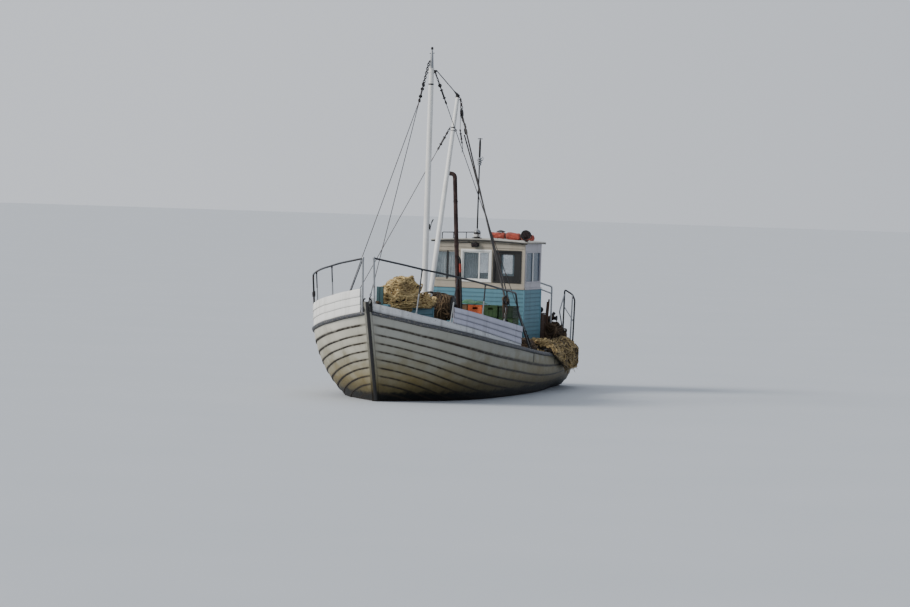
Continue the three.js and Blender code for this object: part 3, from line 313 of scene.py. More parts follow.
def metal(name, colour, rust=(86, 52, 36), rusty=0.58, roughness=0.45, metallic=0.8, spread=9):
    """Steel or galvanised tube, with rust in patches and dull, dirty places."""
    look = Look(name)
    colour = srgb(*colour)
    patch = look.noise(spread, 5, rough=0.65)
    share = look.level(patch, rusty, rusty + 0.10)
    body = look.mix(look.level(look.noise(30, 3), 0.3, 0.7), colour, toned(colour, 0.72))
    look.set("Base Color", look.mix(share, body, srgb(*rust)))
    look.set("Metallic", look.level(share, 0, 1, metallic, 0.1))
    look.set("Roughness", look.level(share, 0, 1, roughness, 0.9))
    look.bump(look.combine("ADD", look.noise(120, 3), share), 0.0012)
    return look.material


def strands(name, dark, light, roughness=0.9, scale=60):
    """Rope and netting: each strand has its tone, with fibres across it."""
    look = Look(name, roughness=roughness)
    dark, light = srgb(*dark), srgb(*light)
    fibre = look.noise(scale, 3)
    body = look.mix(look.attribute("tone"), dark, light)
    body = look.mix(look.level(fibre, 0.3, 0.75, 0.0, 0.7), body, toned(dark, 0.7))
    dirt = look.noise(2.3, 4)
    body = look.mix(look.level(dirt, 0.5, 0.75, 0.0, 0.6), body, toned(dark, 0.55))
    look.set("Base Color", body)
    look.bump(fibre, 0.003)
    return look.material


def plastic(name, colour, dirt=(70, 62, 50), roughness=0.42):
    """Scuffed moulded plastic with dirt in patches, and dirt with painted shade where a piece marks its
    corners.
    """
    look = Look(name)
    colour, dirt = srgb(*colour), srgb(*dirt)
    scratch = look.noise(55, 4, stretch=(0.15, 1, 1))
    body = look.mix(look.level(scratch, 0.55, 0.72, 0.0, 0.45), colour, toned(colour, 1.5))
    cloud = look.noise(5, 4)
    body = look.mix(look.level(cloud, 0.5, 0.75, 0.0, 0.55), body, dirt)
    # Darker where the piece marks dirt and painted shade
    body = look.mix(look.attribute("dirt_and_shade"), body, dirt)
    look.set("Base Color", body)
    look.set("Roughness", look.level(scratch, 0.4, 0.7, roughness, roughness + 0.3))
    look.bump(scratch, 0.0006)
    return look.material


def cloth(name, colour, fade=0.7):
    """Canvas or tarpaulin: a fine weave, faded on its creases."""
    look = Look(name, roughness=0.75, Sheen_Weight=0.15)
    colour = srgb(*colour)
    folds = look.noise(8, 4)
    body = look.mix(look.level(folds, 0.35, 0.7), colour, toned(colour, fade))
    dirt = look.noise(3, 5)
    body = look.mix(look.level(dirt, 0.55, 0.75, 0.0, 0.6), body, toned(colour, 0.35))
    look.set("Base Color", body)
    weave = look.node("TexWave", Vector=look.place, Scale=140).outputs["Fac"]
    look.bump(look.combine("ADD", weave, look.combine("MULTIPLY", folds, 6)), 0.0012)
    return look.material


def timber(name, light, dark, roughness=0.75):
    """Bare weathered wood with its grain along the boat."""
    look = Look(name)
    light, dark = srgb(*light), srgb(*dark)
    grain = look.noise(16, 6, stretch=(0.12, 1, 1), rough=0.7)
    body = look.mix(look.level(grain, 0.3, 0.7), light, dark)
    body = look.mix(look.level(look.attribute("tone"), 0, 1, 0, 0.6), body, dark)
    # Darker where the piece marks dirt and painted shade
    body = look.mix(look.attribute("dirt_and_shade"), body, toned(dark, 0.4))
    look.set("Base Color", body)
    look.set("Roughness", look.level(grain, 0.3, 0.7, roughness - 0.1, roughness + 0.15))
    look.bump(grain, 0.002)
    return look.material


def window_glass(name, tint, clear=(0.16, 0.30)):
    """Old pane: mostly clear, a little tinted, with a salt haze that shows in its gloss."""
    look = Look(name, roughness=0.06, IOR=1.45)
    tint = srgb(*tint)
    look.set("Base Color", look.mix(look.level(look.noise(6, 4), 0.3, 0.7), tint, toned(tint, 0.8)))
    look.set("Roughness", look.level(look.noise(14, 5), 0.4, 0.75, 0.03, 0.22))
    look.set("Alpha", look.level(look.noise(4, 4), 0.3, 0.75, *clear))
    return look.material


# The looks by name. Colours are from 0 to 255, the main one first, then grime or the darker tone
LOOKS = {
    "hull": hull_paint(),
    "white": painted("white_paint", (245, 244, 239), (144, 142, 128), streaks=0.45),
    "grey_white": painted("grey_white_paint", (196, 196, 212), (124, 122, 128), streaks=0.55),
    "pale_grey": painted("pale_grey_paint", (218, 220, 222), (110, 108, 104), streaks=0.6, chips=0.62),
    "rub": painted("rub_rail_paint", (76, 78, 84), (44, 42, 40), chips=0.56, bare=(128, 122, 112)),
    "black": painted("black_paint", (38, 38, 38), (66, 64, 56), roughness=0.7, bare=(88, 82, 72)),
    "deck": painted("deck_paint", (126, 128, 122), (74, 70, 60), roughness=0.75, chips=0.60, patches=0.3),
    "teal": painted("teal_paint", (98, 146, 162), (66, 92, 98), chips=0.66, bare=(150, 150, 140),
                    streaks=0.35, patches=0.2),
    "dark_teal": painted("dark_teal_paint", (58, 92, 96), (44, 58, 56), chips=0.64, bare=(120, 120, 104)),
    "house": painted("house_paint", (176, 166, 149), (132, 118, 98), streaks=0.4),
    "house_side": painted("house_side_paint", (196, 192, 196), (132, 124, 118), streaks=0.35),
    "roof": painted("roof_paint", (196, 194, 186), (120, 112, 98), roughness=0.7, patches=0.25),
    "spar": painted("spar_paint", (243, 242, 238), (172, 160, 140), streaks=0.35, chips=0.71,
                    bare=(150, 136, 116)),
    "growth": painted("bottom_paint", (64, 50, 42), (36, 40, 28), roughness=0.85, chips=0.62,
                      bare=(44, 52, 34)),
    "steel": metal("rail_steel", (168, 170, 172), rusty=0.62),
    "rail_grey": metal("weathered_rail_steel", (66, 67, 70), rusty=0.58, metallic=0.7, roughness=0.38),
    "dark_steel": metal("dark_steel", (52, 50, 50), rusty=0.60, metallic=0.55, roughness=0.55),
    "rusty": metal("rusty_steel", (72, 50, 46), rust=(46, 30, 27), rusty=0.46, metallic=0.4, roughness=0.5,
                   spread=5),
    "bronze": metal("bronze", (150, 118, 66), rust=(70, 96, 78), rusty=0.60, roughness=0.35, metallic=0.9),
    "iron": metal("engine_iron", (70, 82, 74), rusty=0.62, metallic=0.4, roughness=0.5),
    "rubber": painted("black_rubber", (26, 26, 27), (48, 46, 42), roughness=0.6, chips=0.74,
                      bare=(60, 58, 54)),
    "net": strands("net_twine", (104, 78, 44), (252, 224, 160), scale=34),
    # Dark body under the pale twine: painted shade between the strands
    "net_core": strands("net_core", (32, 24, 15), (58, 44, 27), scale=24),
    "brown_net": strands("brown_net", (40, 29, 19), (212, 184, 130), scale=34),
    "dark_net": strands("dark_twine", (36, 28, 22), (132, 108, 78)),
    "rope": strands("brown_rope", (62, 48, 36), (120, 98, 72)),
    "line": strands("dark_line", (36, 34, 34), (74, 70, 68), roughness=0.7),
    "wire": metal("stay_wire", (92, 92, 94), rusty=0.55, metallic=0.6, roughness=0.5),
    "orange": plastic("orange_plastic", (226, 106, 56)),
    "green": plastic("green_plastic", (44, 70, 30), dirt=(40, 44, 30)),
    "dark_green": plastic("dark_green_plastic", (18, 44, 20), dirt=(34, 38, 28)),
    "canvas": cloth("orange_canvas", (182, 80, 62), fade=0.5),
    "tarp": cloth("green_tarp", (76, 132, 96), fade=0.5),
    "wood": timber("bare_wood", (136, 108, 76), (84, 62, 42)),
    "dark_wood": timber("dark_wood", (98, 70, 50), (56, 40, 30)),
    "glass": window_glass("window_glass", (150, 164, 172)),
    "side_glass": window_glass("side_window_glass", (60, 88, 112), clear=(0.7, 0.85)),
    "red": painted("red_paint", (170, 62, 44), (80, 44, 36)),
    "lamp_glass": window_glass("lamp_glass", (40, 26, 26), clear=(0.8, 0.9)),
    "blind": cloth("window_blind", (206, 208, 206), fade=0.85),
    "dark_blind": cloth("dark_window_blind", (92, 92, 92), fade=0.8),
}


# Shapes
class Shape:
    """A mesh in the making. Each point carries a tone, and a value that darkens it: dirt on worn edges and
    painted shade under laps, edges and seams.
    """

    def __init__(self):
        self.points = []
        self.faces = []
        self.tones = []
        self.dirt_and_shade_values = []
        self.picks = []
        self.tone = 0.5
        self.pick = 0

    def add(self, points, faces, dirt_and_shade_values=None):
        start = len(self.points)
        self.points += [tuple(p) for p in points]
        self.tones += [self.tone] * len(points)
        self.dirt_and_shade_values += list(dirt_and_shade_values) if dirt_and_shade_values is not None else [0.0] * len(points)
        self.faces += [[start + i for i in face] for face in faces]
        self.picks += [self.pick] * len(faces)

    def loft(self, rings, closed=True, caps=True, dirt_and_shade_values=None, fades=None):
        """A skin over rings of points. The dirt and painted shade list has a number for each point of a ring,
        fades for each ring.
        """
        count = len(rings[0])
        faces = []
        for r in range(len(rings) - 1):
            for i in range(count if closed else count - 1):
                j = (i + 1) % count
                faces.append((r * count + i, r * count + j, (r + 1) * count + j, (r + 1) * count + i))
        if caps:
            faces.append(tuple(reversed(range(count))))
            faces.append(tuple((len(rings) - 1) * count + i for i in range(count)))
        spread = None
        if dirt_and_shade_values is not None:
            spread = [dirt_and_shade * fade for fade in fades or [1] * len(rings) for dirt_and_shade in dirt_and_shade_values]
        self.add([p for ring in rings for p in ring], faces, spread)


def catmull(points, steps=6):
    """A smooth route through the points."""
    points = [Vector(p) for p in points]
    full = [2 * points[0] - points[1]] + points + [2 * points[-1] - points[-2]]
    out = []
    for i in range(1, len(full) - 2):
        a, b, c, d = full[i - 1:i + 3]
        for k in range(steps):
            t = k / steps
            out.append(0.5 * (2 * b + (c - a) * t + (2 * a - 5 * b + 4 * c - d) * t ** 2
                              + (3 * b - a - 3 * c + d) * t ** 3))
    return out + [points[-1]]


def filleted(points, radius=0.06, steps=5):
    """A route of straight runs with round corners."""
    points = [Vector(p) for p in points]
    out = [points[0]]
    for before, corner, after in zip(points, points[1:], points[2:]):
        reach = min(radius, (corner - before).length * 0.45, (after - corner).length * 0.45)
        start = corner + (before - corner).normalized() * reach
        end = corner + (after - corner).normalized() * reach
        for k in range(steps + 1):
            t = k / steps
            out.append(start * (1 - t) ** 2 + corner * 2 * t * (1 - t) + end * t ** 2)
    return out + [points[-1]]


def tube(shape, route, radius, sides=10, lobes=0, lay=0.0):
    """A round tube along a route. With lobes it is a laid rope, whose strands turn once in each lay."""
    route = [Vector(p) for p in route]
    radii = list(radius) if isinstance(radius, (list, tuple)) else [radius] * len(route)
    last = len(route) - 1
    across = None
    rings = []
    run = 0.0
    for i, point in enumerate(route):
        direction = (route[min(i + 1, last)] - route[max(i - 1, 0)]).normalized()
        if across is None:
            across = direction.orthogonal()
        across = (across - direction * across.dot(direction)).normalized()
        other = direction.cross(across)
        if i:
            run += (point - route[i - 1]).length
        ring = []
        for k in range(sides):
            turn = 2 * math.pi * k / sides
            r = radii[i]
            if lobes:
                r *= 1 + 0.16 * math.cos(lobes * turn - 2 * math.pi * run / lay)
            ring.append(point + across * (r * math.cos(turn)) + other * (r * math.sin(turn)))
        rings.append(ring)
    shape.loft(rings)


def lathe(shape, profile, at, axis=(0, 0, 1), sides=24):
    """A turned piece. Rows of the profile are a radius and a distance along the axis."""
    turn = Vector((0, 0, 1)).rotation_difference(Vector(axis))
    at = Vector(at)
    rings = []
    for radius, along in profile:
        rings.append([at + turn @ Vector((radius * math.cos(2 * math.pi * k / sides),
                                          radius * math.sin(2 * math.pi * k / sides), along))
                      for k in range(sides)])
    shape.loft(rings)


def collar(shape, at, low, high, inner, outer, axis=(0, 0, 1), sides=32, chamfer=0.004):
    """A band round a spar or pipe, between two distances along its axis."""
    lathe(shape, [(inner, low), (outer, low + chamfer), (outer, high - chamfer), (inner, high)], at, axis,
          sides)


CORNERS = [(x, y, z) for x in (0, 1) for y in (0, 1) for z in (0, 1)]


def slab(shape, low, high, bevel=0.004, place=Matrix.Identity(4)):
    """A box with its edges taken off."""
    low, high = [min(a, b) for a, b in zip(low, high)], [max(a, b) for a, b in zip(low, high)]
    bevel = min([bevel] + [(b - a) * 0.4 for a, b in zip(low, high)])
    points = []
    for corner in CORNERS:
        for face_axis in range(3):
            p = []
            for i in range(3):
                inset = 0 if i == face_axis else bevel
                p.append(high[i] - inset if corner[i] else low[i] + inset)
            points.append(place @ Vector(p))
    index = {corner: 3 * n for n, corner in enumerate(CORNERS)}

    def at(axes, values, face_axis):
        corner = [0, 0, 0]
        for axis, value in zip(axes, values):
            corner[axis] = value
        return index[tuple(corner)] + face_axis
    faces = [(3 * n, 3 * n + 1, 3 * n + 2) for n in range(8)]
    for axis in range(3):
        a, b = [i for i in range(3) if i != axis]
        for side in (0, 1):
            faces.append([at((axis, a, b), (side, u, v), axis) for u, v in ((0, 0), (1, 0), (1, 1), (0, 1))])
        for u in (0, 1):
            for v in (0, 1):
                faces.append([at((axis, a, b), (0, u, v), a), at((axis, a, b), (1, u, v), a),
                              at((axis, a, b), (1, u, v), b), at((axis, a, b), (0, u, v), b)])
    shape.add(points, faces)


def pen(low, high, wall, lapped=False):
    """A box's four walls in plan, each as two corners. The last two stop at the first two, or lap them."""
    (x0, y0), (x1, y1) = low, high
    cut = 0 if lapped else wall
    return [((x0, y0), (x1, y0 + wall)), ((x0, y1 - wall), (x1, y1)),
            ((x0, y0 + cut), (x0 + wall, y1 - cut)), ((x1 - wall, y0 + cut), (x1, y1 - cut))]


def facing(origin, along, up=(0, 0, 1)):
    """A place whose X runs along a direction and whose Z is as near up as it can be."""
    x = Vector(along).normalized()
    y = Vector(up).cross(x).normalized()
    z = x.cross(y)
    return Matrix.Translation(Vector(origin)) @ Matrix((x, y, z)).transposed().to_4x4()


def around(at, *steps):
    """Places at some steps from one place."""
    return [Vector(at) + Vector(step) for step in steps]


def torus(shape, at, axis, ring_radius, radius, sides=8, steps=16, stretch=1.0, across=None):
    """A ring or, stretched, a chain link."""
    axis = Vector(axis).normalized()
    u = Vector(across).normalized() if across is not None else axis.orthogonal().normalized()
    v = axis.cross(u)
    rings = []
    for k in range(steps):
        turn = 2 * math.pi * k / steps
        out = u * (math.cos(turn) * stretch) + v * math.sin(turn)
        spoke = (u * math.cos(turn) + v * math.sin(turn)).normalized()
        middle = Vector(at) + out * ring_radius
        rings.append([middle + spoke * (radius * math.cos(2 * math.pi * s / sides))
                      + axis * (radius * math.sin(2 * math.pi * s / sides)) for s in range(sides)])
    shape.loft(rings + [rings[0]], caps=False)


def piece(name, shape, looks, body="boat", replaces=(), sharp=38):
    """The finished object: its mesh, its materials, the body it rides on and the nodes it stands for."""
    mesh = bpy.data.meshes.new(name)
    mesh.from_pydata(shape.points, [], shape.faces)
    # The second attribute darkens edges, laps and seams: dirt, and painted shade
    for key, values in (("tone", shape.tones), ("dirt_and_shade", shape.dirt_and_shade_values)):
        mesh.attributes.new(key, "FLOAT", "POINT").data.foreach_set("value", values)
    for look in looks if isinstance(looks, (list, tuple)) else [looks]:
        mesh.materials.append(LOOKS[look])
    mesh.polygons.foreach_set("material_index", shape.picks)
    made = bmesh.new()
    made.from_mesh(mesh)
    bmesh.ops.remove_doubles(made, verts=made.verts, dist=1e-6)
    bmesh.ops.recalc_face_normals(made, faces=made.faces)
    made.to_mesh(mesh)
    made.free()
    mesh.shade_smooth()
    mesh.set_sharp_from_angle(angle=math.radians(sharp))
    obj = bpy.data.objects.new(name, mesh)
    bpy.context.collection.objects.link(obj)
    if replaces:
        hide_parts(*replaces)
    if body:
        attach(obj, body)
    return obj


# The hull's surface
def smooth_table(rows):
    """A table's columns as smooth curves through its rows, with no overshoot."""
    rows = np.array(rows, float)
    x, y = rows[:, 0], rows[:, 1:]
    gap = np.diff(x)[:, None]
    rise = np.diff(y, axis=0) / gap
    slope = np.vstack([rise[:1], np.zeros((len(x) - 2, y.shape[1])), rise[-1:]])
    before, after = rise[:-1], rise[1:]
    first, second = 2 * gap[1:] + gap[:-1], gap[1:] + 2 * gap[:-1]
    same = before * after > 0
    safe_before, safe_after = np.where(same, before, 1), np.where(same, after, 1)
    slope[1:-1] = np.where(same, (first + second) / (first / safe_before + second / safe_after), 0)

    def at(value):
        i = int(np.clip(np.searchsorted(x, value) - 1, 0, len(x) - 2))
        h = x[i + 1] - x[i]
        t = (value - x[i]) / h
        return (y[i] * (1 + 2 * t) * (1 - t) ** 2 + slope[i] * h * t * (1 - t) ** 2
                + y[i + 1] * t * t * (3 - 2 * t) + slope[i + 1] * h * t * t * (t - 1))
    return at


line_at = smooth_table(LINES)
handles_at = smooth_table(SECTIONS)
BEZIER_STEPS = np.linspace(0, 1, 61)


@functools.cache
def section(share):
    """The planking's curve at a share of the run: its handles and its length from keel to sheer."""
    half, sheer, keel = line_at(share * PLANK_RUN)
    out_low, up_low, out_high, up_high = handles_at(share)
    inner = min(HALF_KEEL, half)
    wide, tall = half - inner, sheer - keel
    handles = np.array([(inner, keel), (inner + out_low * wide, keel + up_low * tall),
                        (inner + out_high * wide, keel + up_high * tall), (half, sheer)])
    t = BEZIER_STEPS[:, None]
    weights = np.hstack([(1 - t) ** 3, 3 * t * (1 - t) ** 2, 3 * t ** 2 * (1 - t), t ** 3])
    points = weights @ handles
    lengths = np.concatenate([[0], np.cumsum(np.linalg.norm(np.diff(points, axis=0), axis=1))])
    return handles, lengths / lengths[-1]


@functools.cache
def on_section(share, girth):
    """(out, up) of a point on a section, and the way its curve runs there."""
    handles, lengths = section(share)
    t = float(np.interp(girth, lengths, BEZIER_STEPS))
    s = 1 - t
    point = (s ** 3 * handles[0] + 3 * t * s * s * handles[1] + 3 * t * t * s * handles[2]
             + t ** 3 * handles[3])
    run = (s * s * (handles[1] - handles[0]) + 2 * t * s * (handles[2] - handles[1])
           + t * t * (handles[3] - handles[2]))
    return point, run / np.linalg.norm(run)


def stem_aft(up):
    """How far aft of the stem head the planking starts at a height."""
    if up >= -0.1:
        return (1.96 - up) * 0.392
    return 2.06 * 0.392 + 1.3 * ((-0.1 - up) / 0.52) ** 1.8


def stern_aft(up):
    return 10.95 + (up + 0.1) / 0.98 * 0.15


def skin(share, girth, proud=0.0):
    """A point of the port planking: along the boat, from keel to sheer, and out of the surface."""
    point, run = on_section(share, girth)
    end_point, end_run = on_section(1.0, girth)
    bow = stem_aft(on_section(0.0, girth)[0][1])
    stern = stern_aft(end_point[1] - proud * end_run[0])
    aft = bow + share * (stern - bow)
    return Vector((STEM_X - aft, point[0] + proud * run[1], point[1] - proud * run[0]))


@functools.cache
def inward_at(share, girth):
    """Level unit vector from the planking to the middle of the boat."""
    run = skin(min(1, share + 0.004), girth) - skin(max(0, share - 0.004), girth)
    run.z = 0
    run.normalize()
    return Vector((-run.y, run.x, 0))


def over_sheer(aft, up, side, inset=0.0):
    """A place above the sheer, as far aft as the sheer is long, leaning out with its height."""
    share = aft / PLANK_RUN
    foot = skin(share, 1)
    p = foot - inward_at(share, 1) * (BULWARK_FLARE * up - inset)
    return Vector((p.x, side * p.y, foot.z + up))


STATIONS = [(i / 84) ** 1.5 for i in range(85)]


def stations(start, end):
    """The stations between two shares of the run, with both ends."""
    return [start] + [s for s in STATIONS if start + 0.003 < s < end - 0.003] + [end]


def lap_at(share):
    return LAP * min(1, max(0.02, share * PLANK_RUN / 0.45))


def deck_lap(share):
    """How far the topmost strake stands out where the deck meets it."""
    return lap_at(share) * (1 - DECK_GIRTH) / (1 - EDGES[-2])


def mirrored(points, side):
    return [Vector((p.x, side * p.y, p.z)) for p in points]


# Share of a strake's breadth, and how dark the surface is made there: dirt, and painted shade under the laps
STRAKE_ROWS = [
    (0, 1.0), (0.045, 1.0), (0.085, 0.55), (0.15, 0.05), (0.35, 0), (0.65, 0), (0.84, 0.1), (0.90, 1.0),
    (1.03, 1.0),
]
# How far inside the surface a strake's hidden back lies
BACK = 0.018


def strake_ring(share, k):
    lap = lap_at(share)
    low, wide = EDGES[k], EDGES[k + 1] - EDGES[k]
    ring = [skin(share, low, -BACK), skin(share, low, 0)]
    for part, _ in STRAKE_ROWS:
        ring.append(skin(share, min(1, low + part * wide), lap * max(0, 1 - part)))
    if k < len(EDGES) - 2:
        return ring + [skin(share, min(1, low + 1.03 * wide), -BACK)]
    top = skin(share, 1)
    inner = top + inward_at(share, 1) * PLANK_WALL
    foot = skin(share, DECK_GIRTH) + inward_at(share, DECK_GIRTH) * PLANK_WALL
    ring[-1] = top + inward_at(share, 1) * 0.006 + Vector((0, 0, 0.001))
    return ring[2:] + [inner + inward_at(share, 1) * -0.006, inner - Vector((0, 0, 0.006)), foot]


def planking():
    """Thirteen lapped strakes a side, each in two or three lengths."""
    shape = Shape()
    dirt_and_shade_values = [1.0, 1.0] + [dirt_and_shade for _, dirt_and_shade in STRAKE_ROWS] + [1.0]
    top_dirt_and_shade = [dirt_and_shade for _, dirt_and_shade in STRAKE_ROWS][:-1] + [0.3, 0.3, 0.2, 0.5]
    for side in (1, -1):
        for k in range(len(EDGES) - 1):
            cuts = [0.0, 0.31 + 0.11 * (k % 3), 0.66 + 0.1 * ((k + 1) % 3), 1.0]
            for start, end in zip(cuts, cuts[1:]):
                shape.tone = DRAW.random()
                shares = stations(start + (0.0002 if start else 0), end - (0.0002 if end < 1 else 0))
                rings = [mirrored(strake_ring(s, k), side) for s in shares]
                fades = [min(1, 0.25 + s * PLANK_RUN / 0.08) for s in shares]
                shape.loft(rings, dirt_and_shade_values=top_dirt_and_shade if k == len(EDGES) - 2 else dirt_and_shade_values, fades=fades)
    return piece("planking", shape, "hull",
                 replaces=("hull", "sheer_strake_port", "sheer_strake_starboard"), sharp=30)


def rub_rails():
    """Half round timbers along the sheer."""
    shape = Shape()
    high, proud, arc = 0.092, 0.058, 12
    # Darker towards the underside: painted shade under the rail, with dirt
    dirt_and_shade_values = [0.3, 0.15] + [0.0] * (arc - 5) + [0.4, 0.7, 0.9, 1.0, 1.0, 0.3]
    for side in (1, -1):
        rings = []
        for share in stations(0.0002, 1.0):
            top = skin(share, 1)
            down = (skin(share, DECK_GIRTH, deck_lap(share)) - top).normalized()
            out = -inward_at(share, 1)
            ring = []
            for i in range(arc + 1):
                turn = math.pi * i / arc
                along = high * (1 - math.cos(turn)) / 2
                dent = 0.003 * noise.noise(Vector((top.x * 3, i * 0.4, side)))
                ring.append(top + down * (along + 0.001) + out * (proud * math.sin(turn) + dent - 0.004))
            rings.append(mirrored(ring, side))
        shape.tone = DRAW.random()
        shape.loft(rings, dirt_and_shade_values=dirt_and_shade_values[:arc + 1])
    return piece("rub_rails", shape, "rub",
                 replaces=("rub_rail_port", "rub_rail_starboard"))


def wall_boards(shape, side, start, end, bottom, top, count, dirt=1.0):
    """Lapped boards above the sheer, from one distance aft to another. The dirt argument scales how dark
    their edges are made: dirt, and painted shade under the laps.
    """
    # Darker at the lower edge and under the next board's lap: dirt and painted shade
    dirt_and_shade_values = [0.8, 0.5, 0.05, 0, 0.05, 0.55, 0.6, 0.6]
    for k in range(count):
        shape.tone = DRAW.random()
        rings = []
        for share in stations(start / PLANK_RUN, end / PLANK_RUN):
            aft = share * PLANK_RUN
            low = bottom(aft) + (top(aft) - bottom(aft)) * k / count
            high = bottom(aft) + (top(aft) - bottom(aft)) * (k + 1) / count
            foot = skin(share, 1)
            out = -inward_at(share, 1)
            ring = []
            step = 0.016
            for part, proud in ((0, step), (0.05, step), (0.3, 0.7 * step), (0.7, 0.3 * step), (0.94, 0.001),
                                (1, -0.004), (1, -BULWARK_WALL), (0, -BULWARK_WALL)):
                up = low + (high - low) * part
                ring.append(Vector((foot.x, foot.y, foot.z + up)) + out * (BULWARK_FLARE * up + proud))
            rings.append(mirrored(ring, side))
        shape.loft(rings, dirt_and_shade_values=dirt_and_shade_values, fades=[dirt] * len(rings))


def low_top(aft):
    return 0.18 - aft / 4.8 * 0.14


def panel_top(aft):
    return 0.48 - (aft - 1.2) / 3.6 * 0.04


def frames(shape, side, afts, bottom, top):
    """Short timbers that hold a bulwark up from inside."""
    for aft in afts:
        foot = over_sheer(aft, bottom, side, BULWARK_WALL + 0.03)
        head = over_sheer(aft, top(aft) - 0.02, side, BULWARK_WALL + 0.03)
        inward = inward_at(aft / PLANK_RUN, 1)
        across = Vector((inward.x, side * inward.y, 0))
        place = facing(foot, head - foot, across)
        slab(shape, (0, -0.035, -0.03), ((head - foot).length, 0.035, 0.03), 0.008, place)


def bulwarks():
    """A high bulwark to starboard. To port a low one, with a panel of boards on its after part."""
    high = Shape()
    wall_boards(high, -1, 0.05, 4.8, lambda aft: 0.001, lambda aft: BULWARK_TOP, 3, 0.3)
    frames(high, -1, [0.35 + 0.62 * i for i in range(8)], -0.12, lambda aft: BULWARK_TOP)
    high.tone = 0.1
    piece("bulwark_high", high, "white", replaces=("bulwark_starboard",), sharp=30)
    low = Shape()
    wall_boards(low, 1, 0.008, 4.8, lambda aft: 0.001, low_top, 1)
    frames(low, 1, [0.4, 0.8], -0.12, low_top)
    piece("bulwark_low", low, "pale_grey", replaces=("bulwark_port_low",), sharp=30)
    panel = Shape()
    wall_boards(panel, 1, 1.2, 4.8, lambda aft: low_top(aft) + 0.001, panel_top, 3)
    frames(panel, 1, [1.32 + 0.56 * i for i in range(7)], -0.12, panel_top)
    piece("bulwark_panel", panel, "grey_white", replaces=("bulwark_port_panel",),
          sharp=30)


def stem_line(count=44):
    """Rows down the stem: the planking's end, and the stem's face ahead of it."""
    rows = []
    for back, face, up in ((5.675, 5.79, 2.155), (5.66, 5.765, 2.06)):
        rows.append((Vector((back, 0, up)), Vector((face, 0, up))))
    for i in range(count + 1):
        p = skin(0, 1 - i / count)
        below = max(0, min(1, (-0.2 - p.z) / 0.2))
        face = Vector((p.x + 0.115 - 0.055 * below, 0, p.z - 0.15 * below))
        rows.append((Vector((p.x - 0.01, 0, p.z)), face))
    return rows


def stem():
    """A tapered timber with an iron band down its face and a fairlead at its head."""
    wood = Shape()
    iron = Shape()
    rings, bands = [], []
    for back, face in stem_line():
        ahead = (face - back).normalized()
        near = face - ahead * 0.012
        port = [(back, 0.070), (back + ahead * 0.03, 0.068), (near - ahead * 0.02, 0.052), (near, 0.048)]
        starboard = [(near, 0.066), (near - ahead * 0.02, 0.070), (back + ahead * 0.03, 0.070), (back, 0.070)]
        rings.append([p + Vector((0, y, 0)) for p, y in port] + [p - Vector((0, y, 0)) for p, y in starboard])
        strip = [(near - ahead * 0.018, 0.042), (near, 0.038), (face - ahead * 0.004, 0.032), (face, 0.022)]
        bands.append([p + Vector((0, y * 1.25, 0)) for p, y in strip]
                     + [p - Vector((0, y * 0.6, 0)) for p, y in reversed(strip)])
    # Darker in the corners at its back and beside the band: dirt and painted shade
    wood.loft(rings, dirt_and_shade_values=[1.0, 0.1, 0.0, 0.5, 0.5, 0.0, 0.1, 1.0])
    iron.loft(bands)
    piece("stem_timber", wood, "hull", replaces=("stem",), sharp=30)
    head = Vector((5.70, 0, 2.10))
    for side in (1, -1):
        horn = around(head, (-0.05, side * 0.075, -0.1), (-0.01, side * 0.09, 0), (0.02, side * 0.085, 0.09),
                      (0.03, side * 0.045, 0.125))
        tube(iron, catmull(horn), 0.017, 8)
        slab(iron, *around(head, (-0.09, side * 0.06, -0.16), (0.05, side * 0.082, -0.02)), 0.008)
    lathe(iron, [(0.024, -0.075), (0.034, -0.06), (0.02, -0.02), (0.02, 0.02), (0.034, 0.06), (0.024, 0.075)],
          head + Vector((0.01, 0, -0.005)), (0, 1, 0), 16)
    piece("stem_band", iron, "rubber")


def transom():
    """Level boards across the stern, with a frame round them."""
    shape = Shape()
    levels = np.linspace(-0.22, 0.94, 9)
    outline = [skin(1, i / 40) for i in range(41)]
    heights = [p.z for p in outline]
    for low, high in zip(levels, levels[1:]):
        shape.tone = DRAW.random()
        rings = []
        for out in (-0.002, -0.056, -0.06):
            inset = 0.004 if out == -0.06 else 0.0
            ring = []
            for z in np.linspace(low + 0.0015 + inset, high - 0.0015 - inset, 5):
                half = np.interp(z, heights, [p.y for p in outline])
                if z > heights[-1]:
                    half = outline[-1].y * max(0.02, 1 - (z - heights[-1]) / 0.062) ** 0.5
                ring.append(Vector((STEM_X - stern_aft(z) + out, half - inset, z)))
            rings.append(ring + mirrored(ring, -1)[::-1])
        # Darker at the boards' edges: dirt and painted shade in the seams
        shape.loft(rings, dirt_and_shade_values=[1, 0.2, 0, 0.2, 1, 1, 0.2, 0, 0.2, 1])
    return piece("transom_boards", shape, "hull", replaces=("transom",), sharp=30)


# The deck's edge inside the planking, from bow to stern
DECK_EDGE = [skin(s, DECK_GIRTH) + inward_at(s, DECK_GIRTH) * (PLANK_WALL + 0.001)
             for s in np.linspace(0.0108, 1, 120)]
DECK_X = [p.x for p in DECK_EDGE][::-1]
DECK_HALF = [p.y for p in DECK_EDGE][::-1]
DECK_SIDE_Z = [p.z + DECK_THICK for p in DECK_EDGE][::-1]


def deck_height(x, y):
    """Top of the deck at a place."""
    half = float(np.interp(x, DECK_X, DECK_HALF))
    return float(np.interp(x, DECK_X, DECK_SIDE_Z)) + DECK_RISE * (half - abs(y))


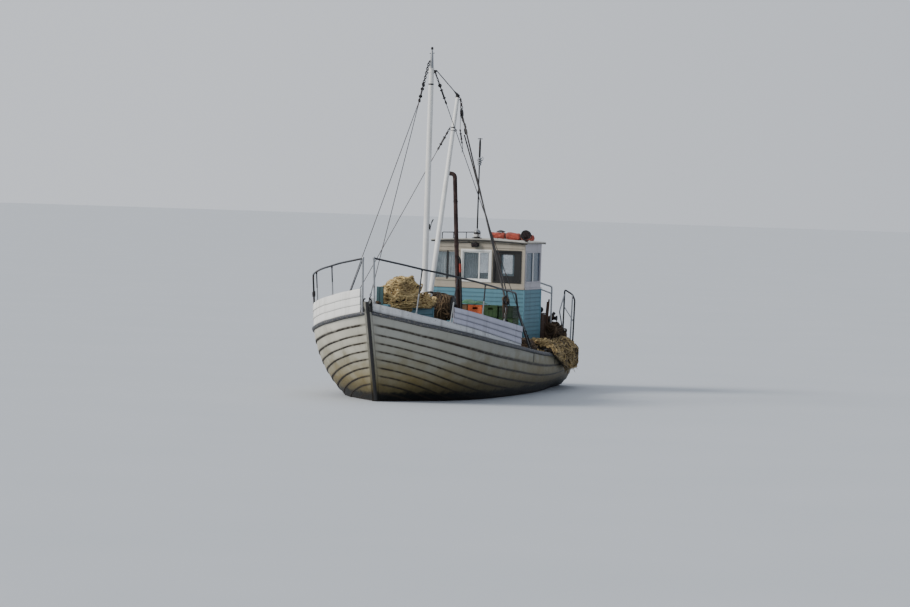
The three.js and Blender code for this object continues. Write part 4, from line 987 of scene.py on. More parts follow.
def deck():
    """Laid planks with gaps between them over a dark bed, inside a covering board."""
    shape = Shape()
    covering, edge, thick, pitch, gap = 0.15, 0.005, 0.012, 0.118, 0.007
    shape.pick = 1
    bed = []
    for x, half in zip(DECK_X, DECK_HALF):
        across = [half * c for c in np.linspace(-1, 1, 9)]
        top = [Vector((x, y, deck_height(x, y) - 0.007)) for y in across]
        bed.append(top + [Vector((p.x, p.y, p.z - 0.03)) for p in reversed(top)])
    shape.loft(bed)
    shape.pick = 0
    for side in (1, -1):
        shape.tone = DRAW.random()
        rings = []
        for x, half in zip(DECK_X, DECK_HALF):
            inner = max(0.0, half - covering)
            profile = ((half, 0), (inner + 0.004, 0), (inner, edge), (inner, thick), (half, thick))
            rings.append([Vector((x, side * y, deck_height(x, y) - down)) for y, down in profile])
        # Darker at the inner edge by the seams: dirt and painted shade
        shape.loft(rings, dirt_and_shade_values=[0.2, 0.3, 1, 1, 1])
    for n in range(-16, 16):
        low, high = n * pitch + gap / 2, (n + 1) * pitch - gap / 2
        profile = ((low, edge), (low + 0.004, 0), (high - 0.004, 0), (high, edge), (high, thick),
                   (low, thick))
        widest = max(abs(low), abs(high))
        inside = [x for x, half in zip(DECK_X, DECK_HALF) if half - covering > widest - 0.03]
        if len(inside) < 4:
            continue
        cuts = [inside[0], inside[0] + (inside[-1] - inside[0]) * (0.3 + 0.13 * (n % 3)), inside[-1]]
        for start, end in zip(cuts, cuts[1:]):
            shape.tone = DRAW.random()
            rings = []
            for x in np.linspace(start + 0.002, end - 0.002, 26):
                rings.append([Vector((x, y, deck_height(x, y) - down)) for y, down in profile])
            # Darker at the edges by the seams: dirt and painted shade
            shape.loft(rings, dirt_and_shade_values=[1, 0.2, 0.2, 1, 1, 1])
    return piece("deck_planks", shape, ["deck", "black"], replaces=("deck",), sharp=30)


# Rails
RAIL_R = 0.021
POST_R = 0.015
WALL_MIDDLE = BULWARK_WALL / 2


def flange(shape, at, axis=(0, 0, 1), radius=0.038):
    """A round foot plate with its weld and four bolt heads."""
    lathe(shape, [(radius, 0), (radius, 0.006), (radius * 0.62, 0.008), (radius * 0.5, 0.016)], at, axis, 16)
    turn = Vector((0, 0, 1)).rotation_difference(Vector(axis))
    for k in range(4):
        angle = math.pi * (k / 2 + 0.25)
        spot = Vector((math.cos(angle), math.sin(angle), 0)) * radius * 0.74
        lathe(shape, [(0.005, 0.004), (0.005, 0.010), (0.003, 0.012)], Vector(at) + turn @ spot, axis, 6)


def bow_rail(name, side, front, level, fall, posts, node):
    """A bent top tube. front and fall are (aft, up) places at its ends, posts are (foot, head, up) rows."""
    shape = Shape()

    def at(aft, up):
        return over_sheer(aft, up, side, WALL_MIDDLE)
    corner = at(level[0], RAIL_TOP)
    run = catmull([corner.lerp(at(level[1], RAIL_TOP), 0.5)] + [at(aft, RAIL_TOP) for aft in level[1:]], 3)
    ends = [at(*spot) for spot in fall]
    shape.pick = 1
    tube(shape, filleted([corner] + run + ends, 0.15), RAIL_R, 12)
    flange(shape, ends[-1])
    shape.pick = 0
    foot = at(*front)
    middle = foot.lerp(corner, 0.62)
    tube(shape, [foot, middle, corner], RAIL_R * 0.98, 12)
    flange(shape, foot, radius=0.036)
    collar(shape, corner, -0.03, 0.03, RAIL_R, RAIL_R * 1.25, sides=14, chamfer=0.01)
    for low, high, up in posts:
        foot, head = at(low, up + 0.001), at(high, RAIL_TOP - 0.004)
        join = foot.lerp(head, 0.45)
        shape.pick = 0
        tube(shape, [foot, join], POST_R, 12)
        flange(shape, foot, radius=0.032)
        shape.pick = 1
        tube(shape, [join, head], POST_R * 0.97, 12)
        lathe(shape, [(POST_R, -0.05), (POST_R * 1.4, -0.03), (POST_R * 1.4, 0.0)], head, head - foot, 12)
    if side < 0:
        tube(shape, [at(0.03, RAIL_TOP - 0.03), at(0.15, BULWARK_TOP + 0.001)], 0.012, 10)
        flange(shape, at(0.15, BULWARK_TOP + 0.001), radius=0.028)
        last = at(level[-1], RAIL_TOP)
        shape.pick = 2
        turns_of_rope(shape, ends[-1].lerp(last, 0.42), 0.030, 0.009, 6, ends[-1] - last)
    return piece(name, shape, ["steel", "rail_grey", "line"], replaces=(node,))


def stern_rail(side, name):
    """A bent stern rail with its brace, a light bent tube ahead of it and a short stay."""
    shape = Shape()
    foot = Vector((-5.26, 1.4, deck_height(-5.26, 1.4)))
    spots = [foot, Vector((-5.3, 1.41, 2.29)), Vector((-5.36, 1.59, 2.18)), Vector((-5.4, 1.64, 2.05)),
             over_sheer(10.96, 0.002, 1, 0.022)]
    brace = [Vector((-5.36, 1.59, 2.17)), over_sheer(10.45, 0.002, 1, 0.022)]
    light = [Vector((-5.29, 1.408, 2.18)), Vector((-4.92, 1.4, 1.785)), Vector((-5.265, 1.402, 1.3))]
    stay = [Vector((-5.28, 1.405, 1.9)), Vector((-5.37, 1.62, 1.55))]
    shape.pick = 1
    tube(shape, mirrored(filleted(spots, 0.05), side), 0.020, 12)
    for end in mirrored([spots[0], spots[-1]], side):
        flange(shape, end, radius=0.045)
    shape.pick = 0
    tube(shape, mirrored(brace, side), 0.018, 12)
    flange(shape, mirrored(brace, side)[1])
    tube(shape, mirrored(filleted(light, 0.06), side), 0.016, 10)
    tube(shape, mirrored(stay, side), 0.011, 8)
    piece("stern_rail_" + name + "_tubes", shape, ["steel", "rail_grey"],
          replaces=("stern_rail_" + name,))


def aft_handrail():
    """A handrail from a post on the port side deck to the house's rear corner."""
    shape = Shape()
    x, y = HOUSE["rear"] - 0.56, 1.23
    wall_x, wall_y = HOUSE["rear"], HOUSE["half"] - 0.035
    high, low = 2.465, 2.32
    foot = Vector((x, y, deck_height(x, y)))
    tube(shape, filleted([foot, Vector((x, y, 2.36)), Vector((wall_x, wall_y, high))], 0.05), 0.020, 12)
    tube(shape, [Vector((x, y, 2.20)), Vector((wall_x, wall_y, low))], 0.017, 10)
    flange(shape, foot)
    for z in (high, low):
        flange(shape, Vector((wall_x, wall_y, z)), (-1, 0, 0), 0.03)
    piece("aft_handrail", shape, "steel", replaces=("aft_handrail_port",))


def rails():
    port_posts = []
    for low, high, top in ((0.46, 0.51, low_top), (1.14, 1.23, low_top), (2.13, 2.13, panel_top),
                           (3.4, 3.4, panel_top)):
        port_posts.append((low, high, top(low)))
    bow_rail("bow_rail_p", 1, (0.02, low_top(0.02) + 0.002),
             (0.005, 0.3, 0.55, 0.85, 1.2, 1.7, 2.3, 3.0, 3.6, 4.05),
             ((4.42, 0.70), (5.65, 0.004)), port_posts, "bow_rail_port")
    bow_rail("bow_rail_s", -1, (0.035, 0.006), (0.025, 0.3, 0.55, 0.85, 1.2, 1.64),
             ((1.75, BULWARK_TOP + 0.002),),
             ((0.5, 0.5, BULWARK_TOP), (1.23, 1.23, BULWARK_TOP)), "bow_rail_starboard")
    stern_rail(1, "port")
    stern_rail(-1, "starboard")
    aft_handrail()


# Wheelhouse
# Front windows: middle, width, frame's look and breadth, lining's breadth at left, right, foot and head
WINDOWS = [
    (-0.78, 0.61, "house", 0.028, (0.03, 0.03, 0.03, 0.03)),
    (-0.075, 0.66, "white", 0.045, (0.03, 0.03, 0.03, 0.03)),
    (0.675, 0.60, "rubber", 0.045, (0.15, 0.13, 0.12, 0.055)),
]
TRIM_LOOKS = ["house", "white", "rubber", "house_side"]
ROOF = {"half": 1.17, "edge": 1.175, "camber": 0.045, "thick": 0.048}
SILL, HEAD = 2.5, 3.17
SIDE_WINDOW = (-4.09, -2.88)


def clapboards(shape, start, end, out, low, high, count):
    """Lapped boards on a wall, between two corners."""
    start, end, out = Vector(start), Vector(end), Vector(out)
    for k in range(count):
        shape.tone = DRAW.random()
        z0 = low + (high - low) * k / count
        z1 = low + (high - low) * (k + 1) / count
        profile = [(0, z0), (0.012, z0), (0.0155, z0 + 0.004), (0.0150, (z0 + z1) / 2),
                   (0.0145, z1 - 0.005), (0.010, z1), (0, z1)]
        rings = []
        for share in (0, 0.25, 0.5, 0.75, 1):
            foot = start.lerp(end, share)
            rings.append([foot + out * d + Vector((0, 0, z)) for d, z in profile])
        # Darker at the lap edges: dirt and painted shade under the laps
        shape.loft(rings, dirt_and_shade_values=[1, 0.9, 0.25, 0.0, 0.25, 0.9, 1])


def window_frame(shape, low, high, face, out, width, depth=0.016):
    """Four boards round a window, on a wall that faces along X or Y."""
    (a0, z0), (a1, z1) = low, high
    for p, q in pen((a0 - width, z0 - width), (a1 + width, z1 + width), width):
        if out[0]:
            slab(shape, (face, p[0], p[1]), (face + out[0] * depth, q[0], q[1]), 0.004)
        else:
            slab(shape, (p[0], face, p[1]), (q[0], face + out[1] * depth, q[1]), 0.004)


def house_boards():
    """Clapboards on the house's four sides, up to the windows, with boards at the corners."""
    shape = Shape()
    front, rear, half = HOUSE["front"], HOUSE["rear"], HOUSE["half"]
    side_foot, rear_foot = 0.86, 0.9
    clapboards(shape, (front, -half, 0), (front, half, 0), (1, 0, 0), TRUNK_TOP + 0.004, BOARDS_TOP, 9)
    for side in (1, -1):
        clapboards(shape, (rear, side * half, 0), (front, side * half, 0), (0, side, 0), side_foot,
                   BOARDS_TOP, 15)
        shape.tone = 0.3
        for inner, outer in ((front - 0.05, front + 0.024), (rear + 0.05, rear - 0.02)):
            slab(shape, (inner, side * (half - 0.002), side_foot),
                 (outer, side * (half + 0.024), BOARDS_TOP), 0.006)
    for start, end in ((-half, -0.06), (0.64, half)):
        clapboards(shape, (rear, start, 0), (rear, end, 0), (-1, 0, 0), rear_foot, BOARDS_TOP, 14)
    piece("house_boards", shape, "teal", sharp=30)


def house_trim():
    """The sill over the clapboards, and the frames, linings and bars of the windows and the door."""
    shape = Shape()
    front, rear, half = HOUSE["front"], HOUSE["rear"], HOUSE["half"]
    slab(shape, (front, -half - 0.03, BOARDS_TOP), (front + 0.03, half + 0.03, BOARDS_TOP + 0.045), 0.006)
    slab(shape, (front, -half, HOUSE["eaves"] - 0.12), (front + 0.014, half, HOUSE["eaves"] - 0.02), 0.004)
    for middle, width, look, breadth, (left, right, low, high) in WINDOWS:
        shape.pick = TRIM_LOOKS.index(look)
        a0, a1 = middle - width / 2, middle + width / 2
        window_frame(shape, (a0, SILL), (a1, HEAD), front, (1, 0), breadth)
        for p, q in (((a0, SILL), (a1, SILL + low)), ((a0, HEAD - high), (a1, HEAD)),
                     ((a0, SILL + low), (a0 + left, HEAD - high)),
                     ((a1 - right, SILL + low), (a1, HEAD - high))):
            slab(shape, (front - 0.014, p[0], p[1]), (front - 0.003, q[0], q[1]), 0.003)
    shape.pick = TRIM_LOOKS.index("rubber")
    slab(shape, (front - 0.016, -0.80, SILL), (front - 0.002, -0.755, HEAD), 0.003)
    shape.pick = TRIM_LOOKS.index("white")
    slab(shape, (front - 0.016, -0.02, SILL + 0.03), (front - 0.004, 0.012, HEAD - 0.03), 0.003)
    shape.pick = TRIM_LOOKS.index("house_side")
    for side in (1, -1):
        slab(shape, (rear - 0.012, side * half, BOARDS_TOP),
             (front + 0.03, side * (half + 0.028), BOARDS_TOP + 0.045), 0.006)
        window_frame(shape, (SIDE_WINDOW[0], SILL), (SIDE_WINDOW[1], HEAD), side * half, (0, side), 0.035,
                     0.012)
    shape.pick = TRIM_LOOKS.index("white")
    for side in (1, -1):
        slab(shape, (-3.51, side * (half - 0.014), SILL), (-3.46, side * (half + 0.008), HEAD), 0.004)
    window_frame(shape, (-0.42, 2.64), (-0.19, 3.11), rear, (-1, 0), 0.03, 0.012)
    window_frame(shape, (-0.046, 1.44), (0.61, 3.215), rear, (-1, 0), 0.035, 0.012)
    piece("house_trim", shape, TRIM_LOOKS, sharp=30)


def roof_under(y):
    """Height of the cambered roof's underside."""
    return HOUSE["eaves"] + 0.04 - ROOF["camber"] * (y / ROOF["half"]) ** 2


def roof_top(y):
    return roof_under(y) + ROOF["thick"]


def roof():
    """A cambered, painted roof with rounded edges and a dark drip batten."""
    shape = Shape()
    x0, x1 = HOUSE["rear"] - 0.11, HOUSE["front"] + 0.075
    middle = (x0 + x1) / 2
    # How much thinner the roof gets at its outermost shares
    thinning = {1: 0.010, 0.992: 0.003}
    rings = []
    for c in [-1, -0.992, -0.97] + list(np.linspace(-0.93, 0.93, 25)) + [0.97, 0.992, 1]:
        y = c * ROOF["edge"]
        thin = thinning.get(abs(c), 0)
        low, high = roof_under(y) + thin, roof_top(y) - thin
        edge = [(0.012, low), (0.002, low + 0.008), (0, (low + high) / 2), (0.003, high - 0.006),
                (0.016, high)]
        outline = [(x0 + inset, z) for inset, z in edge] + [(middle, high + 0.002)]
        outline += [(x1 - inset, z) for inset, z in reversed(edge)] + [(middle, low)]
        rings.append([Vector((x, y, z)) for x, z in outline])
    # Darker along the edge's underside: painted shade under the eaves, with dirt
    shape.loft(rings, dirt_and_shade_values=[1, 1, 0.6, 0.1, 0, 0, 0, 0.1, 0.6, 1, 1, 1])
    shape.pick = 1
    batten = ((0, 0.018), (0.009, 0.018), (0.009, -0.010), (0, -0.010))
    for x in (x1 - 0.004, x0 - 0.004):
        row = []
        for y in np.linspace(-0.99, 0.99, 21) * ROOF["edge"]:
            row.append([Vector((x + dx, y, roof_under(y) + dz)) for dx, dz in batten])
        shape.loft(row)
    return piece("house_roof", shape, ["roof", "black"], replaces=("wheelhouse_roof",),
                 sharp=30)


def curtain(name, y0, y1, folds, look):
    """A hung curtain behind a front window, with upright folds, and its rod."""
    shape = Shape()
    x, depth, count, levels = HOUSE["front"] - 0.11, 0.014, 80, 8
    z0, z1 = SILL - 0.02, HEAD + 0.02
    row = []
    for i in range(count + 1):
        fold = depth * math.sin(2 * math.pi * folds * i / count)
        row.append(Vector((x + fold, y0 + (y1 - y0) * i / count, 0)))
    rows = [[p + Vector((0, 0, z0 + (z1 - z0) * k / levels)) for p in row] for k in range(levels + 1)]
    shape.loft(rows, closed=False, caps=False)
    made = piece(name, shape, look)
    rod = Shape()
    tube(rod, [(x, y0 - 0.02, z1 + 0.006), (x, y1 + 0.02, z1 + 0.006)], 0.006, 8)
    for y in (y0 - 0.015, y1 + 0.015):
        slab(rod, (x - 0.008, y - 0.006, z1 - 0.004), (HOUSE["front"] - 0.04, y + 0.006, z1 + 0.016), 0.002)
    piece(name + "_rod", rod, "steel")


def roof_rail():
    """A low grab rail on four feet, at the front of the roof."""
    shape = Shape()
    outer, inner, high = -0.915, -0.045, 0.15
    between = (-0.64, -0.33)

    def spot(y, up):
        return Vector((HOUSE["front"] + 0.03, y, roof_top(y) + up))
    run = [spot(outer, 0.002), spot(outer, high), spot(inner, high), spot(inner, 0.002)]
    tube(shape, filleted(run, 0.03), 0.0115, 10)
    for y in between:
        tube(shape, [spot(y, 0.002), spot(y, high)], 0.010, 8)
    for y in (outer, *between, inner):
        flange(shape, spot(y, 0.001), radius=0.022)
    piece("roof_rail_tubes", shape, "dark_steel", replaces=("roof_rail",))


def lantern_pole():
    """A lantern with a pole out of its cap, a stack of insulators on the pole and a stout rod above them."""
    shape = Shape()
    at = Vector((HOUSE["front"] - 0.112, -0.11, roof_top(-0.11) + 0.002))
    # Turned parts from the roof up: look, sides and profile
    turned = (
        (1, 32, [(0.108, 0), (0.118, 0.003), (0.118, 0.015), (0.108, 0.020), (0.070, 0.026), (0.066, 0.036)]),
        (3, 32, [(0.070, 0.034), (0.084, 0.044), (0.088, 0.060), (0.088, 0.092), (0.082, 0.096)]),
        (1, 32, [(0.080, 0.094), (0.080, 0.122), (0.076, 0.126)]),
        (0, 32, [(0.078, 0.124), (0.087, 0.128), (0.086, 0.146), (0.072, 0.176), (0.050, 0.198),
                 (0.024, 0.212), (0.019, 0.23)]),
        (1, 20, [(0.019, 0.22), (0.018, 0.5), (0.0165, 1.05), (0.023, 1.06), (0.023, 1.11), (0.0165, 1.12),
                 (0.0165, 1.72)]),
    )
    for shape.pick, sides, profile in turned:
        lathe(shape, profile, at, sides=sides)
    shape.pick = 0
    for k in range(4):
        wide = 0.046 + 0.006 * (k % 3)
        lathe(shape, [(0.022, 0), (wide, 0.010), (wide, 0.034), (0.026, 0.048)],
              at + Vector((0.0, 0.006 * (k % 2), 1.700 + 0.048 * k)), sides=18)
    tube(shape, catmull(around(at, (0, 0.03, 1.80), (0, 0.075, 1.83), (0, 0.085, 1.88), (0, 0.06, 1.91))),
         0.009, 8)
    shape.pick = 1
    lathe(shape, [(0.014, 1.89), (0.025, 1.91), (0.025, 2.22), (0.022, 2.29), (0.014, 2.30),
                  (0.014, 2.343)], at, sides=16)
    tube(shape, around(at, (0, -0.055, 2.325), (0, 0.055, 2.325)), 0.010, 8)
    tube(shape, around(at, (0, -0.06, 1.83), (0, 0, 1.83)), 0.009, 8)
    piece("lantern_and_pole", shape, ["steel", "dark_steel", "glass", "white"],
          replaces=("lantern_pole",))


def search_lamp():
    """A round lamp with a hooded rim, in a yoke on a short post at the roof's port front corner."""
    shape = Shape()
    eye = Vector((HOUSE["front"] + 0.005, 1.12, 3.59))
    base = Vector((eye.x - 0.01, eye.y, roof_top(eye.y) + 0.002))
    lathe(shape, [(0.045, -0.092), (0.085, -0.080), (0.102, -0.055), (0.108, 0.0), (0.110, 0.045),
                  (0.117, 0.050), (0.117, 0.072), (0.104, 0.075), (0.102, 0.062)], eye, (1, 0, 0), 36)
    shape.pick = 1
    lathe(shape, [(0.101, 0.058), (0.101, 0.061), (0.06, 0.068), (0.02, 0.071)], eye, (1, 0, 0), 36)
    shape.pick = 0
    flange(shape, base, radius=0.05)
    yoke = around(eye, (-0.01, -0.122, 0), (-0.01, -0.118, -0.07), (-0.01, 0, -0.135), (-0.01, 0.118, -0.07),
                  (-0.01, 0.122, 0))
    tube(shape, catmull(yoke, 6), 0.009, 8)
    tube(shape, [base, eye + Vector((-0.01, 0, -0.13))], 0.016, 12)
    for side in (1, -1):
        knob = eye + Vector((-0.01, side * 0.105, 0))
        lathe(shape, [(0.016, 0), (0.018, 0.008), (0.012, 0.022)], knob, (0, side, 0), 12)
    piece("search_lamp", shape, ["rubber", "lamp_glass"], replaces=("searchlight",))


def flood_lamp():
    """A small square lamp under the eaves, with cooling fins."""
    shape = Shape()
    spot = Vector((HOUSE["front"] + 0.05, -0.10, 3.325))
    slab(shape, *around(spot, (-0.03, -0.09, -0.06), (0.05, 0.09, 0.05)), 0.022)
    slab(shape, *around(spot, (-0.05, -0.02, -0.01), (-0.028, 0.02, 0.06)), 0.004)
    for i in range(5):
        slab(shape, *around(spot, (-0.042, -0.06 + 0.028 * i, -0.035), (-0.026, -0.052 + 0.028 * i, 0.04)),
             0.002)
    shape.pick = 1
    slab(shape, *around(spot, (0.046, -0.070, -0.044), (0.054, 0.070, 0.034)), 0.003)
    piece("flood_lamp", shape, ["rubber", "lamp_glass"])


def roof_roll():
    """A rolled orange cover in three bunches, tied with cord."""
    shape = Shape()
    rings = []
    steps, sides = 120, 40
    middle_x = -3.42
    ties = (0.0, 0.36, 0.70, 1.0)

    def across(share):
        return 0.045 + 1.09 * share
    for i in range(steps + 1):
        share = i / steps
        y = across(share)
        near = min(abs(share - tie) for tie in ties)
        pinch = 1 - 0.34 * math.exp(-(near / 0.022) ** 2)
        end = min(1, (0.004 + min(share, 1 - share)) / 0.03) ** 0.5
        swell = 0.084 * pinch * end * (1 - 0.10 * math.sin(9 * share))
        ring = []
        for k in range(sides):
            turn = 2 * math.pi * k / sides
            spot = Vector((math.cos(turn) * 1.6, share * 9, math.sin(turn) * 1.6))
            crease = 0.020 * noise.noise(spot) + 0.011 * noise.noise(spot * 3)
            crease += 0.004 * math.sin(9 * turn + 20 * share)
            r = max(0.003, swell + crease * (0.3 + near * 6 if near < 0.1 else 1))
            up = max(-0.80, math.sin(turn)) * r + 0.075
            ring.append(Vector((middle_x + r * 1.02 * math.cos(turn), y, roof_top(y) + 0.006 + up)))
        rings.append(ring)
    shape.loft(rings)
    roll = piece("cover_roll", shape, "canvas", replaces=("roof_roll",), sharp=60)
    cords = Shape()
    for share in ties[1:-1]:
        y = across(share)
        for shift in (-0.012, 0.0, 0.011):
            centre = Vector((middle_x, y + shift, roof_top(y) + 0.081))
            torus(cords, centre, (0.05, 1, 0), 0.062, 0.0055, 6, 24)
    top = roof_top(0.22)
    slab(cords, (-3.50, 0.22, top + 0.165), (-3.36, 0.40, top + 0.188), 0.008)
    loose = [(-3.45, 0.24, top + 0.185), (-3.43, 0.3, top + 0.20), (-3.41, 0.38, top + 0.187)]
    tube(cords, catmull(loose), 0.012, 8)
    piece("roll_ties", cords, "line")


def pipe():
    """The exhaust: a sooty pipe that leans to starboard, with a thin drain pipe beside it."""
    shape = Shape()
    x = STEM_X - 7.11
    foot, top = Vector((x, -0.09, TRUNK_TOP + 0.005)), Vector((x, -0.295, 4.95))
    way = (top - foot).normalized()
    path = filleted([foot, top, (x, -0.495, 4.967)], 0.19, 10)
    tube(shape, path, 0.050, 24)
    lathe(shape, [(0.052, -0.02), (0.055, -0.012), (0.055, 0.006), (0.045, 0.006), (0.044, -0.05)],
          Vector(path[-1]), (0, -1, 0.07), 24)
    flange(shape, foot - Vector((0, 0, 0.002)), radius=0.095)
    for up in (0.9, 1.9, 2.9):
        collar(shape, foot + way * up, -0.018, 0.018, 0.0505, 0.056, way, 24)
    shape.pick = 1
    low = foot + Vector((0.02, 0.085, 0))
    tube(shape, filleted([low, low + way * 1.56, low + way * 1.61 + Vector((0, -0.045, 0.02))], 0.03),
         0.026, 16)
    brace = foot + way * 1.93
    tube(shape, [brace, brace + Vector((-0.06, 0, 0.01)), (-2.70, -0.22, HOUSE["eaves"])], 0.011, 8)
    shape.pick = 2
    collar(shape, low + way * 1.37, -0.10, 0.10, 0.0265, 0.030, way, 16)
    return piece("exhaust", shape, ["rusty", "dark_steel", "red"],
                 replaces=("exhaust_pipe",))


# Mast, boom and rigging
BOOM_WAY = Vector((-math.sin(BOOM_LEAN), 0, math.cos(BOOM_LEAN)))


def on_boom(along, out=(0, 0, 0)):
    """A place at a distance up the boom, and out from it."""
    return PIN + BOOM_WAY * along + Vector(out)


def mast():
    """A tapered spar with its collar, bands, eyes and cleats, and a thin topmast."""
    shape = Shape()
    foot = deck_height(MAST_X, 0)
    profile = [
        (0.070, foot + 0.001), (0.070, 1.2), (0.068, 2.03), (0.090, 2.033), (0.092, 2.045), (0.068, 2.049),
        (0.0675, 2.4), (0.066, 3.5), (0.063, 5.0), (0.058, 6.6), (0.0545, 7.20), (0.054, 7.26), (0.044, 7.28),
    ]
    axis = Vector((MAST_X, 0, 0))
    lathe(shape, profile, axis, sides=32)
    shape.pick = 2
    lathe(shape, [(0.046, 7.278), (0.040, 7.38), (0.033, 7.518), (0.026, 7.62), (0.018, 7.665),
                  (0.018, 7.685), (0.012, 7.69), (0.010, 7.748)], axis, sides=18)
    for shape.pick, low, high in ((0, 7.17, 7.225), (0, 7.252, 7.276), (1, 6.90, 6.935)):
        collar(shape, axis, low, high, 0.0535, 0.062)
    slab(shape, (MAST_X - 0.045, 0.050, 7.195), (MAST_X + 0.005, 0.128, 7.235), 0.006)
    for y in (-0.075, 0.075):
        torus(shape, (MAST_X, y, 7.20), (1, 0, 0), 0.030, 0.009, 8, 16)
    torus(shape, (MAST_X - 0.075, 0.03, 7.20), (0, 1, 0), 0.028, 0.009, 8, 16)
    tube(shape, [(MAST_X, -0.02, 7.44), (MAST_X + 0.04, -0.045, 7.43)], 0.014, 8)
    tube(shape, [(MAST_X - 0.02, -0.06, 7.60), (MAST_X, 0.06, 7.61)], 0.008, 8)
    lathe(shape, [(0.026, 0), (0.030, 0.01), (0.026, 0.05), (0.012, 0.056)], (MAST_X, 0, 7.688), sides=14)
    cleat = Vector((MAST_X, 0.07, 3.75))
    horn = around(cleat, (0, 0.015, -0.09), (0, 0.028, 0), (0, 0.05, 0.10), (0, 0.085, 0.17))
    tube(shape, catmull(horn), [0.009] * 12 + [0.014] * 7, 10)
    slab(shape, *around(cleat, (-0.02, -0.008, -0.06), (0.02, 0.014, 0.06)), 0.004)
    for side in (-1, 1):
        low = Vector((MAST_X, side * 0.066, 1.75))
        bow = [(0, side * out, up)
               for out, up in ((0.012, 0.09), (0.04, 0.03), (0.04, -0.03), (0.012, -0.09))]
        tube(shape, catmull(around(low, *bow)), 0.009, 8)
    flange(shape, (MAST_X, 0, foot + 0.001), radius=0.13)
    return piece("mast_spar", shape, ["spar", "dark_steel", "steel"], replaces=("mast",))


def boom():
    """A tapered spar with its fork end, bands and eyes."""
    shape = Shape()
    lathe(shape, [(0.036, 0.10), (0.048, 0.13), (0.053, 0.20), (0.0565, 1.2), (0.056, 2.2), (0.051, 3.5),
                  (0.043, 4.75), (0.041, 4.91), (0.034, 4.945)], PIN, BOOM_WAY, 32)
    shape.pick = 1
    across = Vector((0, 1, 0))
    place = Matrix.Translation(PIN) @ Matrix((BOOM_WAY.cross(across) * -1, across,
                                              BOOM_WAY)).transposed().to_4x4()
    slab(shape, (-0.024, -0.022, 0.012), (0.024, 0.022, 0.15), 0.006, place)
    collar(shape, PIN, -0.022, 0.022, 0.015, 0.030, across, 20)
    for along, high in ((0.16, 0.05), (4.865, 0.075), (4.115, 0.035), (4.05, 0.02)):
        collar(shape, PIN, along, along + high, 0.044, 0.062 - along * 0.003, BOOM_WAY, chamfer=0.003)
    # Eyes: how far up the boom, how far out, the way the ring faces, and its size
    for along, out, axis, size in ((4.85, (0, 0.052, 0), (1, 0, 0), 0.026),
                                   (4.93, (0, 0, 0.01), (0, 1, 0), 0.030),
                                   (4.13, (0, -0.060, 0), (1, 0, 0), 0.026),
                                   (4.08, (0, 0.062, 0), (1, 0, 0), 0.024)):
        torus(shape, on_boom(along, out), axis, size, 0.008, 8, 16)
    return piece("boom_spar", shape, ["spar", "dark_steel"], "boom", replaces=("boom",))


def swivel():
    """The gooseneck: a ring that turns round the mast, with a fork for the boom's pin."""
    shape = Shape()
    low, high = 2.061, 2.146
    lathe(shape, [(0.078, 2.056), (0.098, 2.060), (0.100, 2.068), (0.100, 2.140), (0.098, 2.148),
                  (0.078, 2.151)], Vector((MAST_X, 0, 0)), sides=32)
    for y in (0.030, -0.058):
        slab(shape, (PIN.x - 0.045, PIN.y + y, low), (MAST_X - 0.062, PIN.y + y + 0.028, high), 0.010)
    slab(shape, (MAST_X - 0.092, -0.055, low), (MAST_X - 0.064, PIN.y + 0.058, high), 0.006)
    lathe(shape, [(0.011, -0.075), (0.011, 0.075)], PIN, (0, 1, 0), 16)
    for side in (1, -1):
        lathe(shape, [(0.019, 0.059), (0.019, 0.070), (0.012, 0.074)], PIN, (0, side, 0), 6)
    return piece("gooseneck", shape, "dark_steel", "boom_swivel",
                 replaces=("boom_swivel",))


def turnbuckle(shape, start, end, stout=1.0):
    """A bottle screw between two eyes, filling the distance between two points."""
    start, end = Vector(start), Vector(end)
    way = (end - start).normalized()
    length = (end - start).length
    side = way.orthogonal().normalized() * 0.017 * stout
    for sign in (1, -1):
        rod = [start + way * length * share + side * sign for share in (0.25, 0.75)]
        tube(shape, rod, 0.008 * stout, 8)
    thin, wide = 0.011 * stout, 0.027 * stout
    shares = ((thin, 0), (thin, 0.23), (wide, 0.24), (wide, 0.30), (thin, 0.31), (thin, 0.69), (wide, 0.70),
              (wide, 0.76), (thin, 0.77), (thin, 1))
    lathe(shape, [(radius, length * share) for radius, share in shares], start, way, 12)
    for spot in (start, end):
        torus(shape, spot, way.cross(side), 0.022 * stout, 0.008 * stout, 8, 14)


def chain(shape, start, end, link=0.065):
    start, end = Vector(start), Vector(end)
    way = (end - start).normalized()
    count = max(2, round((end - start).length / (link * 0.78)))
    side = way.orthogonal().normalized()
    for i in range(count):
        spot = start.lerp(end, (i + 0.5) / count)
        turned = side if i % 2 else way.cross(side)
        torus(shape, spot, turned, link * 0.30, link * 0.14, 6, 12, stretch=1.5, across=way)


def block(shape, at, way, size=0.055, axle=(0, 1, 0)):
    """A pulley block: two cheeks, a wheel between them, a strap and its eye."""
    at, way, axle = Vector(at), Vector(way).normalized(), Vector(axle).normalized()
    across = way.cross(axle).normalized()
    turns = np.linspace(0, 2 * math.pi, 21)[:-1]
    for side in (1, -1):
        rings = []
        for depth, grow in ((0.012, 0.92), (0.014, 1.0), (0.022, 1.0), (0.026, 0.9)):
            middle = at + axle * (side * depth)
            tall, wide = 1.35 * size * grow, size * grow
            rings.append([middle + way * (tall * math.sin(t)) + across * (wide * math.cos(t)) for t in turns])
        shape.loft(rings)
    lathe(shape, [(size * 0.88, -0.011), (size * 0.74, 0), (size * 0.88, 0.011)], at, axle, 20)
    lathe(shape, [(0.012, -0.032), (0.012, 0.032)], at, axle, 10)
    torus(shape, at + way * (1.45 * size), axle, 0.018, 0.006, 8, 12)


